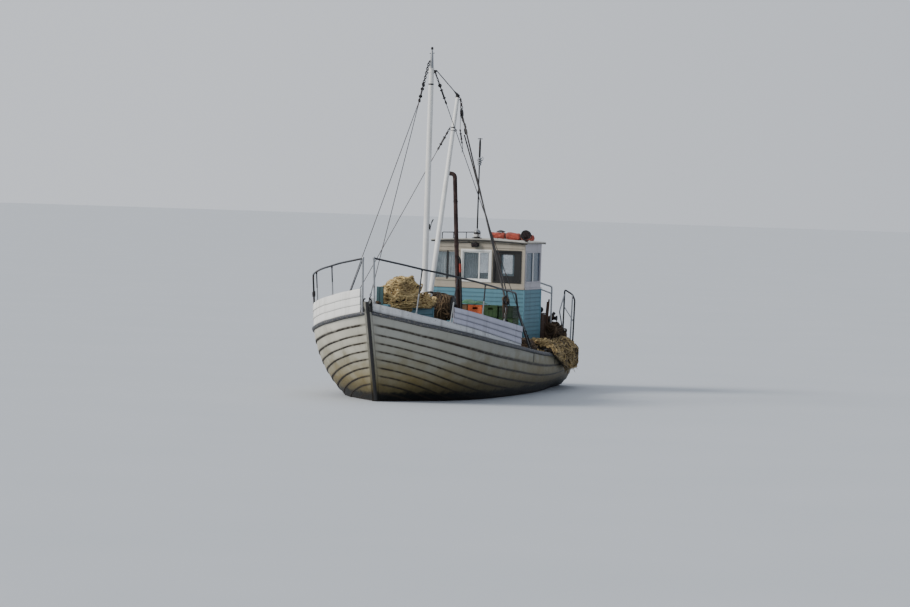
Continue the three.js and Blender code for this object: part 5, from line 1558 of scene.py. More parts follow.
def forestay():
    """A wire from the stem head, with chain at its foot and a ring, screw and chain at the mast."""
    foot = Vector((5.62, 0, 2.13))
    head = Vector((MAST_X + 0.05, -0.045, 7.42))
    ring, split = head.lerp(foot, 0.10), head.lerp(foot, 0.168)
    low = foot.lerp(split, 0.05)
    shape = Shape()
    chain(shape, head, ring, 0.08)
    torus(shape, ring, (0.3, 1, 0.2), 0.042, 0.013, 10, 20)
    turnbuckle(shape, ring, split, 1.5)
    torus(shape, split, (0.3, 1, 0.2), 0.034, 0.011, 10, 20)
    chain(shape, low, foot, 0.055)
    shape.pick = 1
    tube(shape, [split, low], 0.009, 8)
    piece("forestay_wire", shape, ["dark_steel", "wire"], replaces=("forestay",))
    return split


def shroud_starboard(head):
    """A wire from a place on the forestay to the starboard bulwark."""
    shape = Shape()
    foot = over_sheer(3.8, 0.16, -1, 0.09)
    low = foot.lerp(head, 0.045)
    shape.pick = 1
    tube(shape, [head, low], 0.009, 8)
    shape.pick = 0
    turnbuckle(shape, low, foot)
    slab(shape, *around(foot, (-0.03, -0.025, -0.13), (0.03, -0.012, 0.01)), 0.004)
    piece("shroud_s", shape, ["dark_steel", "wire"], replaces=("shroud_starboard",))


def shroud_port():
    """A wire from the mast head to the port sheer, with chain, a ring and a screw at its head."""
    shape = Shape()
    top = Vector((MAST_X, 0.082, 7.20))
    foot = over_sheer(5.83, 0.03, 1, 0.022)
    first, second, third, low = [top.lerp(foot, share) for share in (0.018, 0.05, 0.111, 0.94)]
    chain(shape, top, first, 0.06)
    torus(shape, second, (1, 0.2, 0), 0.034, 0.010, 10, 18)
    chain(shape, first, second, 0.06)
    turnbuckle(shape, second, third, 1.35)
    turnbuckle(shape, low, foot)
    slab(shape, *around(foot, (-0.03, -0.01, -0.045), (0.03, 0.01, 0.012)), 0.004)
    shape.pick = 1
    tube(shape, [third, low], 0.009, 8)
    piece("shroud_p", shape, ["dark_steel", "wire"], replaces=("shroud_port",))


def stays():
    shroud_starboard(forestay())
    shroud_port()


def fine_route(start, end, count=24):
    start, end = Vector(start), Vector(end)
    return [start.lerp(end, i / count) for i in range(count + 1)]


def line_piece(name, route, radius, looks, sides, lobes=0, lay=1.0):
    """A length of line as a piece on no body, to be tied to two of them."""
    shape = Shape()
    tube(shape, route, radius, sides, lobes, lay)
    return piece(name, shape, looks, body=None)


def split_line(name, fixed, head, looks, radius, lay=0.0):
    """A line from the boat to the boom, in two lengths that meet where the boom's swivel carries them."""
    fixed, head = Vector(fixed), Vector(head)
    middle = fixed.lerp(head, 0.5)
    rope = (9, 3, lay) if lay else (8, 0, 1)
    made = line_piece(name + "_low", fine_route(fixed, middle), radius, looks, *rope)
    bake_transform(made)
    made = line_piece(name + "_high", fine_route(middle, head), radius, looks, *rope)
    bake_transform(made)


FALL_AFTS = (3.30, 3.55)
FALL_FEET = [over_sheer(aft, 0.98, 1, 0.03) for aft in FALL_AFTS]


def topping_lift():
    """The line that carries the boom's head, thick where it is clapped on at the boom."""
    lift_head, lift_foot = Vector((MAST_X - 0.02, 0.115, 7.22)), on_boom(4.93)
    route = fine_route(lift_head, lift_foot, 16)
    turn = route[2]
    made = line_piece("topping_lift_head", fine_route(lift_head, turn, 8), 0.011, "line", 10)
    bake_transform(made)
    made = line_piece("topping_lift", route[2:], [0.011] * 12 + [0.018, 0.028, 0.034], "line", 10)
    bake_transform(made)


def running_rigging():
    """Topping lift, guy and tackle, with the blocks and hooks at their ends."""
    topping_lift()
    tackle = Shape()
    upper, lower = on_boom(4.85, (0.06, 0.135, -0.33)), on_boom(4.85, (0.0, 0.225, -0.74))
    chain(tackle, on_boom(4.85, (0, 0.075, 0)), upper + Vector((0, 0, 0.11)), 0.075)
    block(tackle, upper, (0, -0.1, 1), 0.068)
    chain(tackle, upper - Vector((0, 0, 0.09)), lower + Vector((0, 0, 0.09)), 0.07)
    block(tackle, lower, (0, -0.2, 1), 0.055)
    guy_head = on_boom(4.13, (0.0, -0.085, -0.005))
    guy_foot = over_sheer(4.73, BULWARK_TOP + 0.02, -1, 0.02)
    way = (guy_foot - guy_head).normalized()
    link, hook_end = guy_head + way * 0.13, guy_head + way * 0.52
    chain(tackle, guy_head, link, 0.06)
    turnbuckle(tackle, link, hook_end, 1.35)
    hung = on_boom(4.08, (0, 0.17, 0.0))
    tube(tackle, [on_boom(4.85, (0, 0.075, -0.01)), hung], 0.006, 8)
    tail = around(hung, (0, 0.05, -0.27), (0.0, 0.07, -0.38), (0.01, 0.06, -0.50))
    turnbuckle(tackle, hung, tail[0], 1.1)
    tube(tackle, catmull(tail), 0.007, 8)
    piece("boom_tackle", tackle, "dark_steel", "boom")
    split_line("guy", guy_foot, hook_end, "wire", 0.009)
    rigging_feet(guy_foot)
    split_line("fall_1", FALL_FEET[0], upper + Vector((0.0, 0.03, -0.10)), "line", 0.017, 0.10)
    split_line("fall_2", FALL_FEET[0] + Vector((-0.045, 0, 0)), lower + Vector((0.0, 0.03, -0.08)), "line",
               0.015, 0.10)
    split_line("fall_3", FALL_FEET[1], lower + Vector((0.0, -0.03, -0.08)), "line", 0.015, 0.10)


def rigging_feet(guy_foot):
    """What the running rigging is made fast to on the boat."""
    shape = Shape()
    lathe(shape, [(0.03, 0), (0.032, 0.01), (0.014, 0.02), (0.012, 0.05)], guy_foot - Vector((0, 0, 0.02)),
          sides=14)
    torus(shape, guy_foot + Vector((0, 0, 0.035)), (1, 0, 0), 0.02, 0.008, 8, 12)
    for foot, aft in zip(FALL_FEET, FALL_AFTS):
        block(shape, foot - Vector((0, 0, 0.085)), (-0.1, -0.05, 1), 0.052)
        torus(shape, foot - Vector((0, -0.012, 0.165)), (1, 0, 0), 0.028, 0.008, 8, 12)
        tube(shape, [foot - Vector((0, 0, 0.18)), over_sheer(aft, panel_top(aft) + 0.001, 1, 0.03)], 0.011, 8)
    piece("rigging_feet", shape, "dark_steel")


# Netting and rope
def tangle(shape, surface, count, radius, length, along=None, lift=2.2, wander=1.0, tones=(0.0, 1.0),
           steps=9):
    """Strands that wander over a surface. surface(u, v) gives a point and how it faces."""
    for _ in range(count):
        u, v = DRAW.random(), DRAW.random()
        heading = DRAW.uniform(0, 2 * math.pi) if along is None else DRAW.gauss(along, 0.35)
        bend = DRAW.gauss(0, 0.5) * wander
        r = radius * DRAW.uniform(0.6, 1.3)
        high = DRAW.uniform(0.2, lift) * r
        stride = length * DRAW.uniform(0.5, 1.3) / steps
        route = []
        for k in range(steps + 1):
            place, out = surface(u, min(1.0, max(0.0, v)))
            hump = high + r * 1.5 * math.sin(math.pi * k / steps) * DRAW.uniform(0.3, 1)
            route.append(place + out * hump)
            heading += bend + DRAW.gauss(0, 0.35) * wander
            u += math.cos(heading) * stride
            v += math.sin(heading) * stride
        shape.tone = min(1.0, max(0.0, DRAW.uniform(*tones)))
        tube(shape, catmull(route, 2), r, 5)


def bundles(shape, surface, count, radius, length, share, tones, along=None):
    """Thick, uneven bundles of netting that lie over a heap, each tapered to its ends."""
    for _ in range(count):
        u, v = DRAW.random(), DRAW.random() * share
        heading = DRAW.uniform(0, 2 * math.pi) if along is None else DRAW.gauss(along, 0.3)
        stride = length * DRAW.uniform(0.6, 1.3) / 7
        r = radius * DRAW.uniform(0.6, 1.25)
        route = []
        for k in range(8):
            place, out = surface(u, min(1.0, max(0.0, v)))
            route.append(place + out * r * (0.4 + 1.3 * math.sin(math.pi * k / 7) * DRAW.uniform(0.5, 1.2)))
            heading += DRAW.gauss(0, 0.55)
            u += math.cos(heading) * stride
            v += math.sin(heading) * stride
        route = catmull(route, 3)
        radii = []
        for i in range(len(route)):
            swell = math.sin(math.pi * i / (len(route) - 1))
            radii.append(r * (0.30 + 0.70 * max(0, swell) ** 0.6) * DRAW.uniform(0.85, 1.15))
        shape.tone = DRAW.uniform(*tones)
        tube(shape, route, radii, 7, 3, 0.16)


def blob(at, levels, turns=1.0):
    """A surface over a heap: levels are (height, half length, half breadth, shift along, shift to port)."""
    rows = smooth_table([(i / (len(levels) - 1),) + tuple(level) for i, level in enumerate(levels)])
    at = Vector(at)

    def point(u, v):
        up, long, wide, dx, dy = rows(min(1, max(0, v)))
        turn = 2 * math.pi * u * turns
        spot = Vector((at.x + dx + long * math.cos(turn), at.y + dy + wide * math.sin(turn), up))
        lump = noise.noise(spot * 2.9) * 0.15 + noise.noise(spot * 7.5) * 0.075
        out = Vector((math.cos(turn), math.sin(turn), 0.2 + 1.6 * v)).normalized()
        return spot + out * lump * min(1, 3 * (1 - v) + 0.2), out
    return point


def heap_core(shape, surface, across=72, up=26):
    """The body under a heap's strands, set to the dark end of its look: painted shade between the strands."""
    rings = []
    for j in range(up + 1):
        rings.append([surface(i / across, j / up)[0] for i in range(across)])
    shape.tone = 0.2
    shape.loft(rings)


DRUM = Vector((0.75, 0, 1.96))
BIN = {"fore": 4.27, "aft": 2.18, "fore_y": (-0.56, 0.02), "aft_y": (-0.86, 0.43), "top": 2.075}


def net_pile(name, at, sounding, levels, grid, bundle, strand, looks):
    """Net dumped on deck. levels count from the deck at the sounding, looks are of the core and the twine."""
    core, twine = Shape(), Shape()
    base = deck_height(*sounding) + 0.006
    heap = blob((*at, 0), [(base + up, *row) for up, *row in levels])
    heap_core(core, heap, *grid)
    bundles(twine, heap, *bundle)
    tangle(twine, heap, *strand, wander=1.6, lift=4.0, tones=(0.0, 1.0))
    piece(name + "_core", core, looks[0], sharp=180)
    piece(name + "_twine", twine, looks[1], sharp=180)


def net_bin():
    """A pen of lapped boards, narrower towards the bow, with a tall board at its fore end."""
    shape = Shape()
    fore, aft, top = BIN["fore"], BIN["aft"], BIN["top"]
    middle = Vector((3.2, -0.24, 0))
    count = 5
    corners = [Vector((fore, BIN["fore_y"][0], 0)), Vector((fore, BIN["fore_y"][1], 0)),
               Vector((aft, BIN["aft_y"][1], 0)), Vector((aft, BIN["aft_y"][0], 0))]
    for start, end in zip(corners, corners[1:] + corners[:1]):
        halfway = (start + end) / 2
        base = max(deck_height(p.x, p.y) for p in (start, end, halfway)) + 0.004
        place = facing(start, end - start)
        inward = 1 if (place.to_3x3() @ Vector((0, 1, 0))).dot(middle - halfway) > 0 else -1
        for k in range(count):
            shape.tone = DRAW.random()
            low = base + (top - base) * k / count
            high = base + (top - base) * (k + 1) / count - 0.006
            slab(shape, (0.004, inward * 0.002, low), ((end - start).length - 0.004, inward * 0.030, high),
                 0.006, place)
    for corner in corners:
        x, y, _ = corner + (middle - corner).normalized() * 0.055
        slab(shape, (x - 0.03, y - 0.03, deck_height(x, y) + 0.003), (x + 0.03, y + 0.03, top - 0.01), 0.006)
    shape.pick = 1
    for tone, low, high in ((0.2, -0.263, -0.188), (0.8, -0.182, -0.107)):
        shape.tone = tone
        slab(shape, (fore - 0.032, low, 1.5), (fore, high, 2.45), 0.006)
    for z in (2.16, 2.38):
        slab(shape, (fore - 0.056, -0.255, z), (fore - 0.032, -0.115, z + 0.045), 0.005)
    return piece("net_bin_boards", shape, ["teal", "dark_teal"], replaces=("net_bin",),
                 sharp=30)


def net_heap():
    """The pale net in the bin: a tall heap, a lower one to port of it, and strands over the port side."""
    core, twine = Shape(), Shape()
    main = blob((3.30, 0.0, 0), [
        (2.00, 0.72, 0.33, 0.05, 0), (2.14, 0.76, 0.37, 0.03, 0), (2.30, 0.64, 0.335, 0.08, 0.01),
        (2.44, 0.48, 0.27, 0.14, 0.01), (2.55, 0.30, 0.19, 0.18, 0.01), (2.60, 0.09, 0.07, 0.20, 0.01),
    ])
    side = blob((2.55, 0.24, 0), [
        (1.98, 0.42, 0.22, 0, 0), (2.08, 0.46, 0.26, 0, 0.02), (2.17, 0.36, 0.21, 0, 0),
        (2.24, 0.22, 0.13, 0, 0), (2.26, 0.06, 0.05, 0, 0),
    ])
    heap_core(core, main)
    heap_core(core, side, 48, 18)
    fill = []
    for z, inset in ((1.76, 0.06), (2.0, 0.05), (2.06, 0.09)):
        fill.append([Vector((4.20 - inset, -0.52 + inset, z)), Vector((4.20 - inset, -0.02 - inset, z)),
                     Vector((2.25 + inset, 0.37 - inset, z)), Vector((2.25 + inset, -0.80 + inset, z))])
    core.loft(fill)
    bundles(twine, main, 130, 0.024, 0.36, 0.95, (0.1, 1.0))
    tangle(twine, main, 300, 0.013, 0.28, wander=1.6, lift=4.0, tones=(0.2, 1.0))
    # The top layer, lifted furthest, takes only light tones: painted light on the heap's outside
    tangle(twine, main, 160, 0.010, 0.22, wander=2.0, lift=6.0, tones=(0.7, 1.0))
    bundles(twine, side, 60, 0.020, 0.36, 0.9, (0.2, 1.0))
    tangle(twine, side, 150, 0.012, 0.26, wander=1.6, lift=4.0, tones=(0.0, 1.0))
    # How far out of the bin's side the hanging strands are, and how high
    drop = [(-0.16, 2.17), (-0.04, 2.13), (0.025, 2.085), (0.035, 1.98), (0.04, 1.86), (0.045, 1.76)]

    def over_side(u, v):
        x = 3.98 - 0.62 * (u % 1)
        edge = 0.02 + (BIN["fore"] - x) / (BIN["fore"] - BIN["aft"]) * 0.41
        t = v * (len(drop) - 1)
        i = min(len(drop) - 2, int(t))
        out, up = [a + (b - a) * (t - i) for a, b in zip(drop[i], drop[i + 1])]
        return Vector((x, edge + out, up)), Vector((0, 0.8, 0.35)).normalized()
    bundles(twine, over_side, 46, 0.020, 0.75, 0.8, (0.3, 1.0), along=math.pi / 2)
    tangle(twine, over_side, 80, 0.011, 0.55, along=math.pi / 2, wander=0.9, lift=4.0, tones=(0.2, 1.0))
    piece("net_heap_core", core, "net_core", replaces=("net_heap",), sharp=180)
    piece("net_heap_twine", twine, "net", sharp=180)


def side_bundle():
    """Brown net dumped on the port side deck, between the trunk and the rail."""
    levels = [(0, 0.80, 0.21, 0, 0), (0.13, 0.82, 0.23, 0, 0), (0.26, 0.66, 0.19, -0.04, 0),
              (0.35, 0.42, 0.12, -0.10, 0), (0.39, 0.10, 0.05, -0.12, 0)]
    net_pile("side_net", (-0.85, 1.60), (-0.9, 1.58), levels, (56, 18), (70, 0.020, 0.30, 0.95, (0.0, 1.0)),
             (260, 0.012, 0.30), ("dark_net", "rope"))


def drum():
    """The net drum: flanges, and dark net wound and tangled round it."""
    iron, core, twine = Shape(), Shape(), Shape()
    for y in (-0.264, 0.430):
        lathe(iron, [(0.24, 0), (0.246, 0.004), (0.246, 0.010), (0.24, 0.014), (0.05, 0.014)],
              DRUM + Vector((0, y, 0)), (0, 1, 0), 40)
    lathe(iron, [(0.028, -0.365), (0.028, 0.545)], DRUM, (0, 1, 0), 20)
    for side, y in ((-1, -0.365), (1, 0.545)):
        lathe(iron, [(0.034, 0), (0.034, 0.012), (0.020, 0.02)], DRUM + Vector((0, y, 0)), (0, -side, 0), 6)

    def winding(u, v):
        turn = 2 * math.pi * u
        y = -0.235 + 0.65 * v
        waist = 1 - 0.16 * abs(2 * v - 1) ** 3
        way = Vector((math.cos(turn), 0, math.sin(turn)))
        lump = noise.noise(Vector((way.x * 1.4, y * 3, way.z * 1.4))) * 0.05
        return DRUM + way * (0.265 * waist + lump) + Vector((0, y, 0)), way
    heap_core(core, winding, 64, 16)
    bundles(twine, winding, 70, 0.020, 0.42, 1.0, (0.0, 0.8), along=0.15)
    tangle(twine, winding, 300, 0.012, 0.42, along=0.15, wander=1.0, lift=3.4, tones=(0.0, 1.0))
    # The top layer, lifted furthest, takes only light tones: painted light on the winding's outside
    tangle(twine, winding, 130, 0.010, 0.30, wander=1.8, lift=5.5, tones=(0.6, 1.0))
    piece("drum_flanges", iron, "dark_steel", "drum", replaces=("net_drum",))
    piece("drum_net_core", core, "dark_net", "drum", sharp=180)
    piece("drum_net_twine", twine, "dark_net", "drum", sharp=180)


def drum_stand():
    """Foot plates with their bolts, and the bearings' outer rings."""
    shape = Shape()
    for y in (-0.31, 0.49):
        for x in (DRUM.x + 0.30, DRUM.x - 0.30):
            foot = Vector((x, y, deck_height(x, y)))
            slab(shape, *around(foot, (-0.07, -0.05, 0.001), (0.07, 0.05, 0.012)), 0.003)
            for dx in (-0.045, 0.045):
                lathe(shape, [(0.010, 0.012), (0.010, 0.022), (0.006, 0.026)],
                      foot + Vector((dx, 0.033, 0)), sides=6)
        lathe(shape, [(0.062, 0.021), (0.066, 0.026), (0.066, 0.038), (0.045, 0.046)],
              DRUM + Vector((0, y, 0)),
              (0, 1 if y > 0 else -1, 0), 24)
    piece("drum_stand_fittings", shape, "rusty")


def quarter_net():
    """Net hung over the port quarter, in long strands."""
    first, last = 7.62, 10.74
    # The net's way over the sheer, out and up, and its share of that drop and bulk at distances aft
    arch = [(-0.33, 0.02), (-0.33, 0.11), (-0.17, 0.235), (0.02, 0.175), (0.090, 0.02), (0.104, -0.18),
            (0.098, -0.39)]
    route = smooth_table([(i / (len(arch) - 1), out, up) for i, (out, up) in enumerate(arch)])
    reach = smooth_table([(first, 0.15, 0.48), (8.2, 0.4, 0.68), (8.8, 0.75, 0.84), (9.4, 1, 1), (10.0, 1, 1),
                          (10.5, 0.9, 0.9), (last, 0.6, 0.6)])

    def surface(u, v):
        aft = first + (last - first) * min(1.0, max(0.0, u))
        drop, bulk = reach(aft)
        out, up = route(min(1.0, max(0.0, v)))
        up *= bulk if up > 0 else drop
        top = over_sheer(aft, 0, 1)
        spot = Vector((top.x, top.y + out * (0.80 + 0.20 * bulk), top.z + up))
        lump = noise.noise(Vector((aft * 4, v * 4, 3))) * 0.075
        lump += noise.noise(Vector((aft * 11, v * 9, 7))) * 0.035
        lump *= (0.4 + 0.6 * drop) * min(1, 3.2 * (1 - v))
        faces = Vector((0, 1, 0.25)) if v > 0.6 else (Vector((0, 0.15, 1))
                                                      if v > 0.2 else Vector((0, -1, 0.4)))
        faces.normalize()
        return spot + faces * lump, faces
    core, twine = Shape(), Shape()
    count = 60
    rings = []
    for i in range(count + 1):
        outer = [surface(i / count, j / 24)[0] for j in range(25)]
        top = over_sheer(first + (last - first) * i / count, 0, 1)
        inner = [Vector((p.x, max(top.y + 0.064, p.y - 0.05), p.z)) for p in outer[17:][::-1]]
        inner += around(top, (0, 0.07, 0.012), (0, -0.16, 0.014), (0, -0.30, 0.014))
        rings.append(outer + inner)
    # Dark end of the core's look: painted shade between the strands
    core.tone = 0.25
    core.loft(rings)
    bundles(twine, surface, 150, 0.020, 0.46, 0.9, (0.0, 0.75), along=1.15)
    tangle(twine, surface, 240, 0.012, 0.46, along=1.1, wander=0.7, lift=4.0, tones=(0.0, 0.8))
    # The top layer, lifted furthest, takes only light tones: painted light on the net's outside
    tangle(twine, surface, 120, 0.013, 0.42, along=1.15, wander=0.7, lift=6.0, tones=(0.7, 1.0))
    for _ in range(64):
        u = DRAW.uniform(0.35, 0.95)
        start = surface(u, DRAW.uniform(0.8, 0.98))[0]
        drop = DRAW.uniform(0.06, 0.20)
        lean = DRAW.gauss(-0.03, 0.03)
        fall = around(start, *[(lean * k, 0.01 * math.sin(k * 1.3 + u * 9), -drop * k / 4) for k in range(5)])
        twine.tone = DRAW.uniform(0.1, 0.9)
        tube(twine, catmull(fall, 2), [0.011 - 0.0008 * k for k in range(9)], 5)
    piece("quarter_net_core", core, "net_core", replaces=("quarter_net",), sharp=180)
    piece("quarter_net_twine", twine, "brown_net", sharp=180)


def turns_of_rope(shape, at, radius, thickness, turns, axis=(0, 0, 1), sides=9):
    """Close turns of laid rope round a post."""
    turn_by = Vector((0, 0, 1)).rotation_difference(Vector(axis))
    steps = 20
    route = []
    for i in range(turns * steps + 1):
        angle = 2 * math.pi * i / steps
        r = radius * (1 + 0.03 * math.sin(angle * 2.3))
        spot = Vector((r * math.cos(angle), r * math.sin(angle), thickness * 2.05 * i / steps))
        route.append(Vector(at) + turn_by @ spot)
    tube(shape, route, thickness, sides, 3, thickness * 7)


# Deck gear
CRATE = {"x": -2.24, "long": 0.54, "wide": 0.352, "high": 0.262}


def crate(shape, x, y, z):
    """A ribbed fish crate with a rim, stacking feet and hand holes."""
    long, wide, high, wall = CRATE["long"], CRATE["wide"], CRATE["high"], 0.010
    x1, y1, z1 = x + long, y + wide, z + high
    slab(shape, (x + 0.012, y + 0.012, z), (x1 - 0.012, y1 - 0.012, z + 0.012), 0.003)
    for ya, yb in ((y + 0.008, y + 0.008 + wall), (y1 - 0.008 - wall, y1 - 0.008)):
        slab(shape, (x + 0.01, ya, z + 0.004), (x1 - 0.01, yb, z1 - 0.004), 0.002)
    for xa, xb in ((x + 0.008, x + 0.008 + wall), (x1 - 0.008 - wall, x1 - 0.008)):
        for ya, yb, za, zb in ((y + 0.01, y1 - 0.01, z + 0.004, z1 - 0.095),
                               (y + 0.01, y1 - 0.01, z1 - 0.045, z1 - 0.004),
                               (y + 0.01, y + 0.115, z1 - 0.096, z1 - 0.044),
                               (y1 - 0.115, y1 - 0.01, z1 - 0.096, z1 - 0.044)):
            slab(shape, (xa, ya, za), (xb, yb, zb), 0.002)
    for za, zb, grow in ((z1 - 0.022, z1, 0.0), (z1 - 0.115, z1 - 0.104, 0.002),
                         (z + 0.02, z + 0.032, 0.002)):
        for p, q in pen((x + grow, y + grow), (x1 - grow, y1 - grow), 0.011 - grow, lapped=True):
            slab(shape, (*p, za), (*q, zb), 0.002)
    for i in range(6):
        rib = x + 0.045 + i * (long - 0.1) / 5
        for ya, yb in ((y + 0.002, y + 0.010), (y1 - 0.010, y1 - 0.002)):
            slab(shape, (rib, ya, z + 0.03), (rib + 0.010, yb, z1 - 0.02), 0.002)
    for i in range(4):
        rib = y + 0.035 + i * (wide - 0.08) / 3
        for xa, xb in ((x + 0.002, x + 0.010), (x1 - 0.010, x1 - 0.002)):
            slab(shape, (xa, rib, z + 0.03), (xb, rib + 0.010, z1 - 0.10), 0.002)


def crates():
    """Three crates in a row on the trunk, and three on top of them."""
    rows = [0.06, 0.43, 0.80]
    low, high = TRUNK_TOP + 0.001, TRUNK_TOP + 0.264
    lower = Shape()
    for lower.pick, y in zip((1, 0, 1), rows):
        crate(lower, CRATE["x"], y, low)
    piece("crates_under", lower, ["dark_green", "green"], replaces=("crates_lower",),
          sharp=30)
    for y, name, slot in zip(rows, ("orange", "green", "dark_green"),
                             ("orange_plastic", "green_plastic", "green_plastic")):
        shape = Shape()
        crate(shape, CRATE["x"], y, high)
        piece("fish_crate_" + name, shape, name, replaces=("crate_" + name,), sharp=30)


def tarp():
    """A small green tarpaulin thrown over a box beside the crates."""
    shape = Shape()
    x0, x1, y0, y1 = -2.26, -1.74, -0.22, 0.40
    box_end, rim = 0.04, TRUNK_TOP + 0.526
    count = 44
    rows = []
    for j in range(count + 1):
        row = []
        for i in range(count + 1):
            s = i / count
            x, y = x0 + (x1 - x0) * s, y0 + (y1 - y0) * (j / count)
            hump = 0.095 * math.exp(-((y + 0.02) / 0.16) ** 2) + 0.065 * math.exp(-((y - 0.26) / 0.10) ** 2)
            hump *= math.sin(math.pi * s) ** 0.35
            ripple = 0.016 * noise.noise(Vector((x * 7, y * 9, 2)))
            ripple += 0.007 * noise.noise(Vector((x * 18, y * 18, 5)))
            row.append(Vector((x, y, rim + 0.024 + hump + ripple)))
        rows.append(row)
    shape.loft(rows, closed=False, caps=False)
    made = piece("tarpaulin", shape, "tarp")
    box = Shape()
    for k in range(3):
        box.tone = DRAW.random()
        z = TRUNK_TOP + 0.003 + 0.176 * k
        for p, q in pen((x0 + 0.03, y0 + 0.004), (x1 - 0.03, box_end - 0.004), 0.022):
            slab(box, (*p, z), (*q, z + 0.170), 0.004)
    piece("tarp_box", box, "wood", sharp=30)


def hatch_lid():
    """Boards with two battens, an edge, a lifting ring and the hinges' straps."""
    shape = Shape()
    x0, x1, half, low = -0.64, 0.16, 0.43, TRUNK_TOP + 0.006
    for n in range(6):
        y = -half + n * 2 * half / 6
        shape.tone = DRAW.random()
        slab(shape, (x0 + 0.002, y + 0.0015, low + 0.008),
             (x1 - 0.002, y + 2 * half / 6 - 0.0015, low + 0.036), 0.004)
    for x in (x0 + 0.08, x1 - 0.16):
        slab(shape, (x, -half + 0.01, low + 0.034), (x + 0.08, half - 0.01, low + 0.050), 0.004)
    for y in (-half, half - 0.022):
        slab(shape, (x0, y, low), (x1, y + 0.022, low + 0.040), 0.003)
    shape.pick = 1
    torus(shape, (x0 + 0.05, 0, low + 0.046), (0.5, 0, 1), 0.035, 0.006, 8, 16)
    for y in (-0.28, 0.22):
        slab(shape, (x1 - 0.14, y, low + 0.036), (x1 - 0.004, y + 0.06, low + 0.043), 0.002)
    return piece("hatch_boards", shape, ["deck", "dark_steel"], "lid",
                 replaces=("hatch_lid",), sharp=30)


def trunk_trim():
    """A rubbing strip and battens on the trunk's sides, and the lid's hinges."""
    shape = Shape()
    for side in (1, -1):
        slab(shape, (-2.70, side * 1.05, TRUNK_TOP - 0.05), (0.32, side * 1.072, TRUNK_TOP - 0.002), 0.008)
        for x in (-1.9, -1.1, -0.3):
            foot = deck_height(x, 1.06)
            slab(shape, (x, side * 1.05, foot + 0.002), (x + 0.06, side * 1.064, TRUNK_TOP - 0.05), 0.004)
        slab(shape, (0.30, side * 1.05, deck_height(0.3, 1.05) + 0.003),
             (0.316, side * 0.99, TRUNK_TOP - 0.05), 0.004)
    slab(shape, (0.30, -1.072, TRUNK_TOP - 0.05), (0.322, 1.072, TRUNK_TOP - 0.002), 0.008)
    shape.pick = 1
    for y in (-0.29, 0.22):
        slab(shape, (0.168, y, TRUNK_TOP + 0.001), (0.26, y + 0.07, TRUNK_TOP + 0.008), 0.002)
    lathe(shape, [(0.010, -0.30), (0.010, -0.21)], (0.165, 0, 1.451), (0, 1, 0), 12)
    lathe(shape, [(0.010, 0.21), (0.010, 0.30)], (0.165, 0, 1.451), (0, 1, 0), 12)
    return piece("trunk_trim", shape, ["teal", "dark_steel"], sharp=30)


def bitt():
    """A post with a cross pin and turns of rope."""
    shape = Shape()
    at = Vector((5.17, -0.06, 0))
    foot = deck_height(at.x, at.y) + 0.002
    slab(shape, (at.x - 0.054, at.y - 0.054, foot), (at.x + 0.054, at.y + 0.054, 2.21), 0.012)
    rings = [[Vector((at.x + r * sx, at.y + r * sy, z)) for sx, sy in ((-1, -1), (1, -1), (1, 1), (-1, 1))]
             for r, z in ((0.054, 2.208), (0.054, 2.222), (0.02, 2.248))]
    shape.loft(rings)
    shape.pick = 1
    lathe(shape, [(0.020, -0.19), (0.027, -0.185), (0.027, -0.17), (0.022, -0.165), (0.022, 0.165),
                  (0.027, 0.17), (0.027, 0.185),
                  (0.020, 0.19)], Vector((at.x, at.y, 2.12)), (0, 1, 0), 20)
    shape.pick = 2
    turns_of_rope(shape, Vector((at.x, at.y, 1.92)), 0.086, 0.013, 5)
    shape.tone = 0.8
    turns_of_rope(shape, Vector((at.x, at.y + 0.066, 2.12)), 0.036, 0.012, 3, (0, 1, 0))
    return piece("bitt", shape, ["pale_grey", "dark_steel", "rope"],
                 replaces=("bow_bitt",), sharp=30)


def davit():
    """A short davit with a line hauler, and the rope on them."""
    shape = Shape()
    x, y = -5.0, 1.13
    foot = Vector((x, y, deck_height(x, y)))
    flange(shape, foot + Vector((0, 0, 0.001)), radius=0.10)
    arm = [foot + Vector((0, 0, 0.002)), (x, y, 1.2), (x, y, 1.48), (-5.02, 1.17, 1.62),
           (-5.055, 1.245, 1.745)]
    taper = [0.055, 0.054, 0.053, 0.052, 0.050, 0.048, 0.046, 0.044, 0.042, 0.040, 0.037, 0.034]
    tube(shape, catmull(arm, 6), [0.056] * 13 + taper, 20)
    lathe(shape, [(0.03, 0), (0.066, 0.004), (0.066, 0.016), (0.045, 0.035), (0.040, 0.13), (0.045, 0.22),
                  (0.066, 0.244), (0.066, 0.256), (0.03, 0.26)], Vector((-5.02, 1.06, 1.61)), (0, 1, 0), 24)
    slab(shape, (-4.96, 1.07, 1.18), (-4.90, 1.19, 1.42), 0.012)
    tube(shape, catmull([(-4.93, 1.12, 1.40), (-4.91, 1.08, 1.52), (-4.98, 1.06, 1.58)]), 0.012, 8)
    shape.pick = 1
    turns_of_rope(shape, Vector((-5.02, 1.12, 1.61)), 0.055, 0.010, 5, (0, 1, 0))
    shape.tone = 0.2
    turns_of_rope(shape, Vector((x, y, 0.90)), 0.070, 0.013, 6)
    return piece("hauler_davit", shape, ["dark_steel", "rope"], replaces=("stern_davit",))


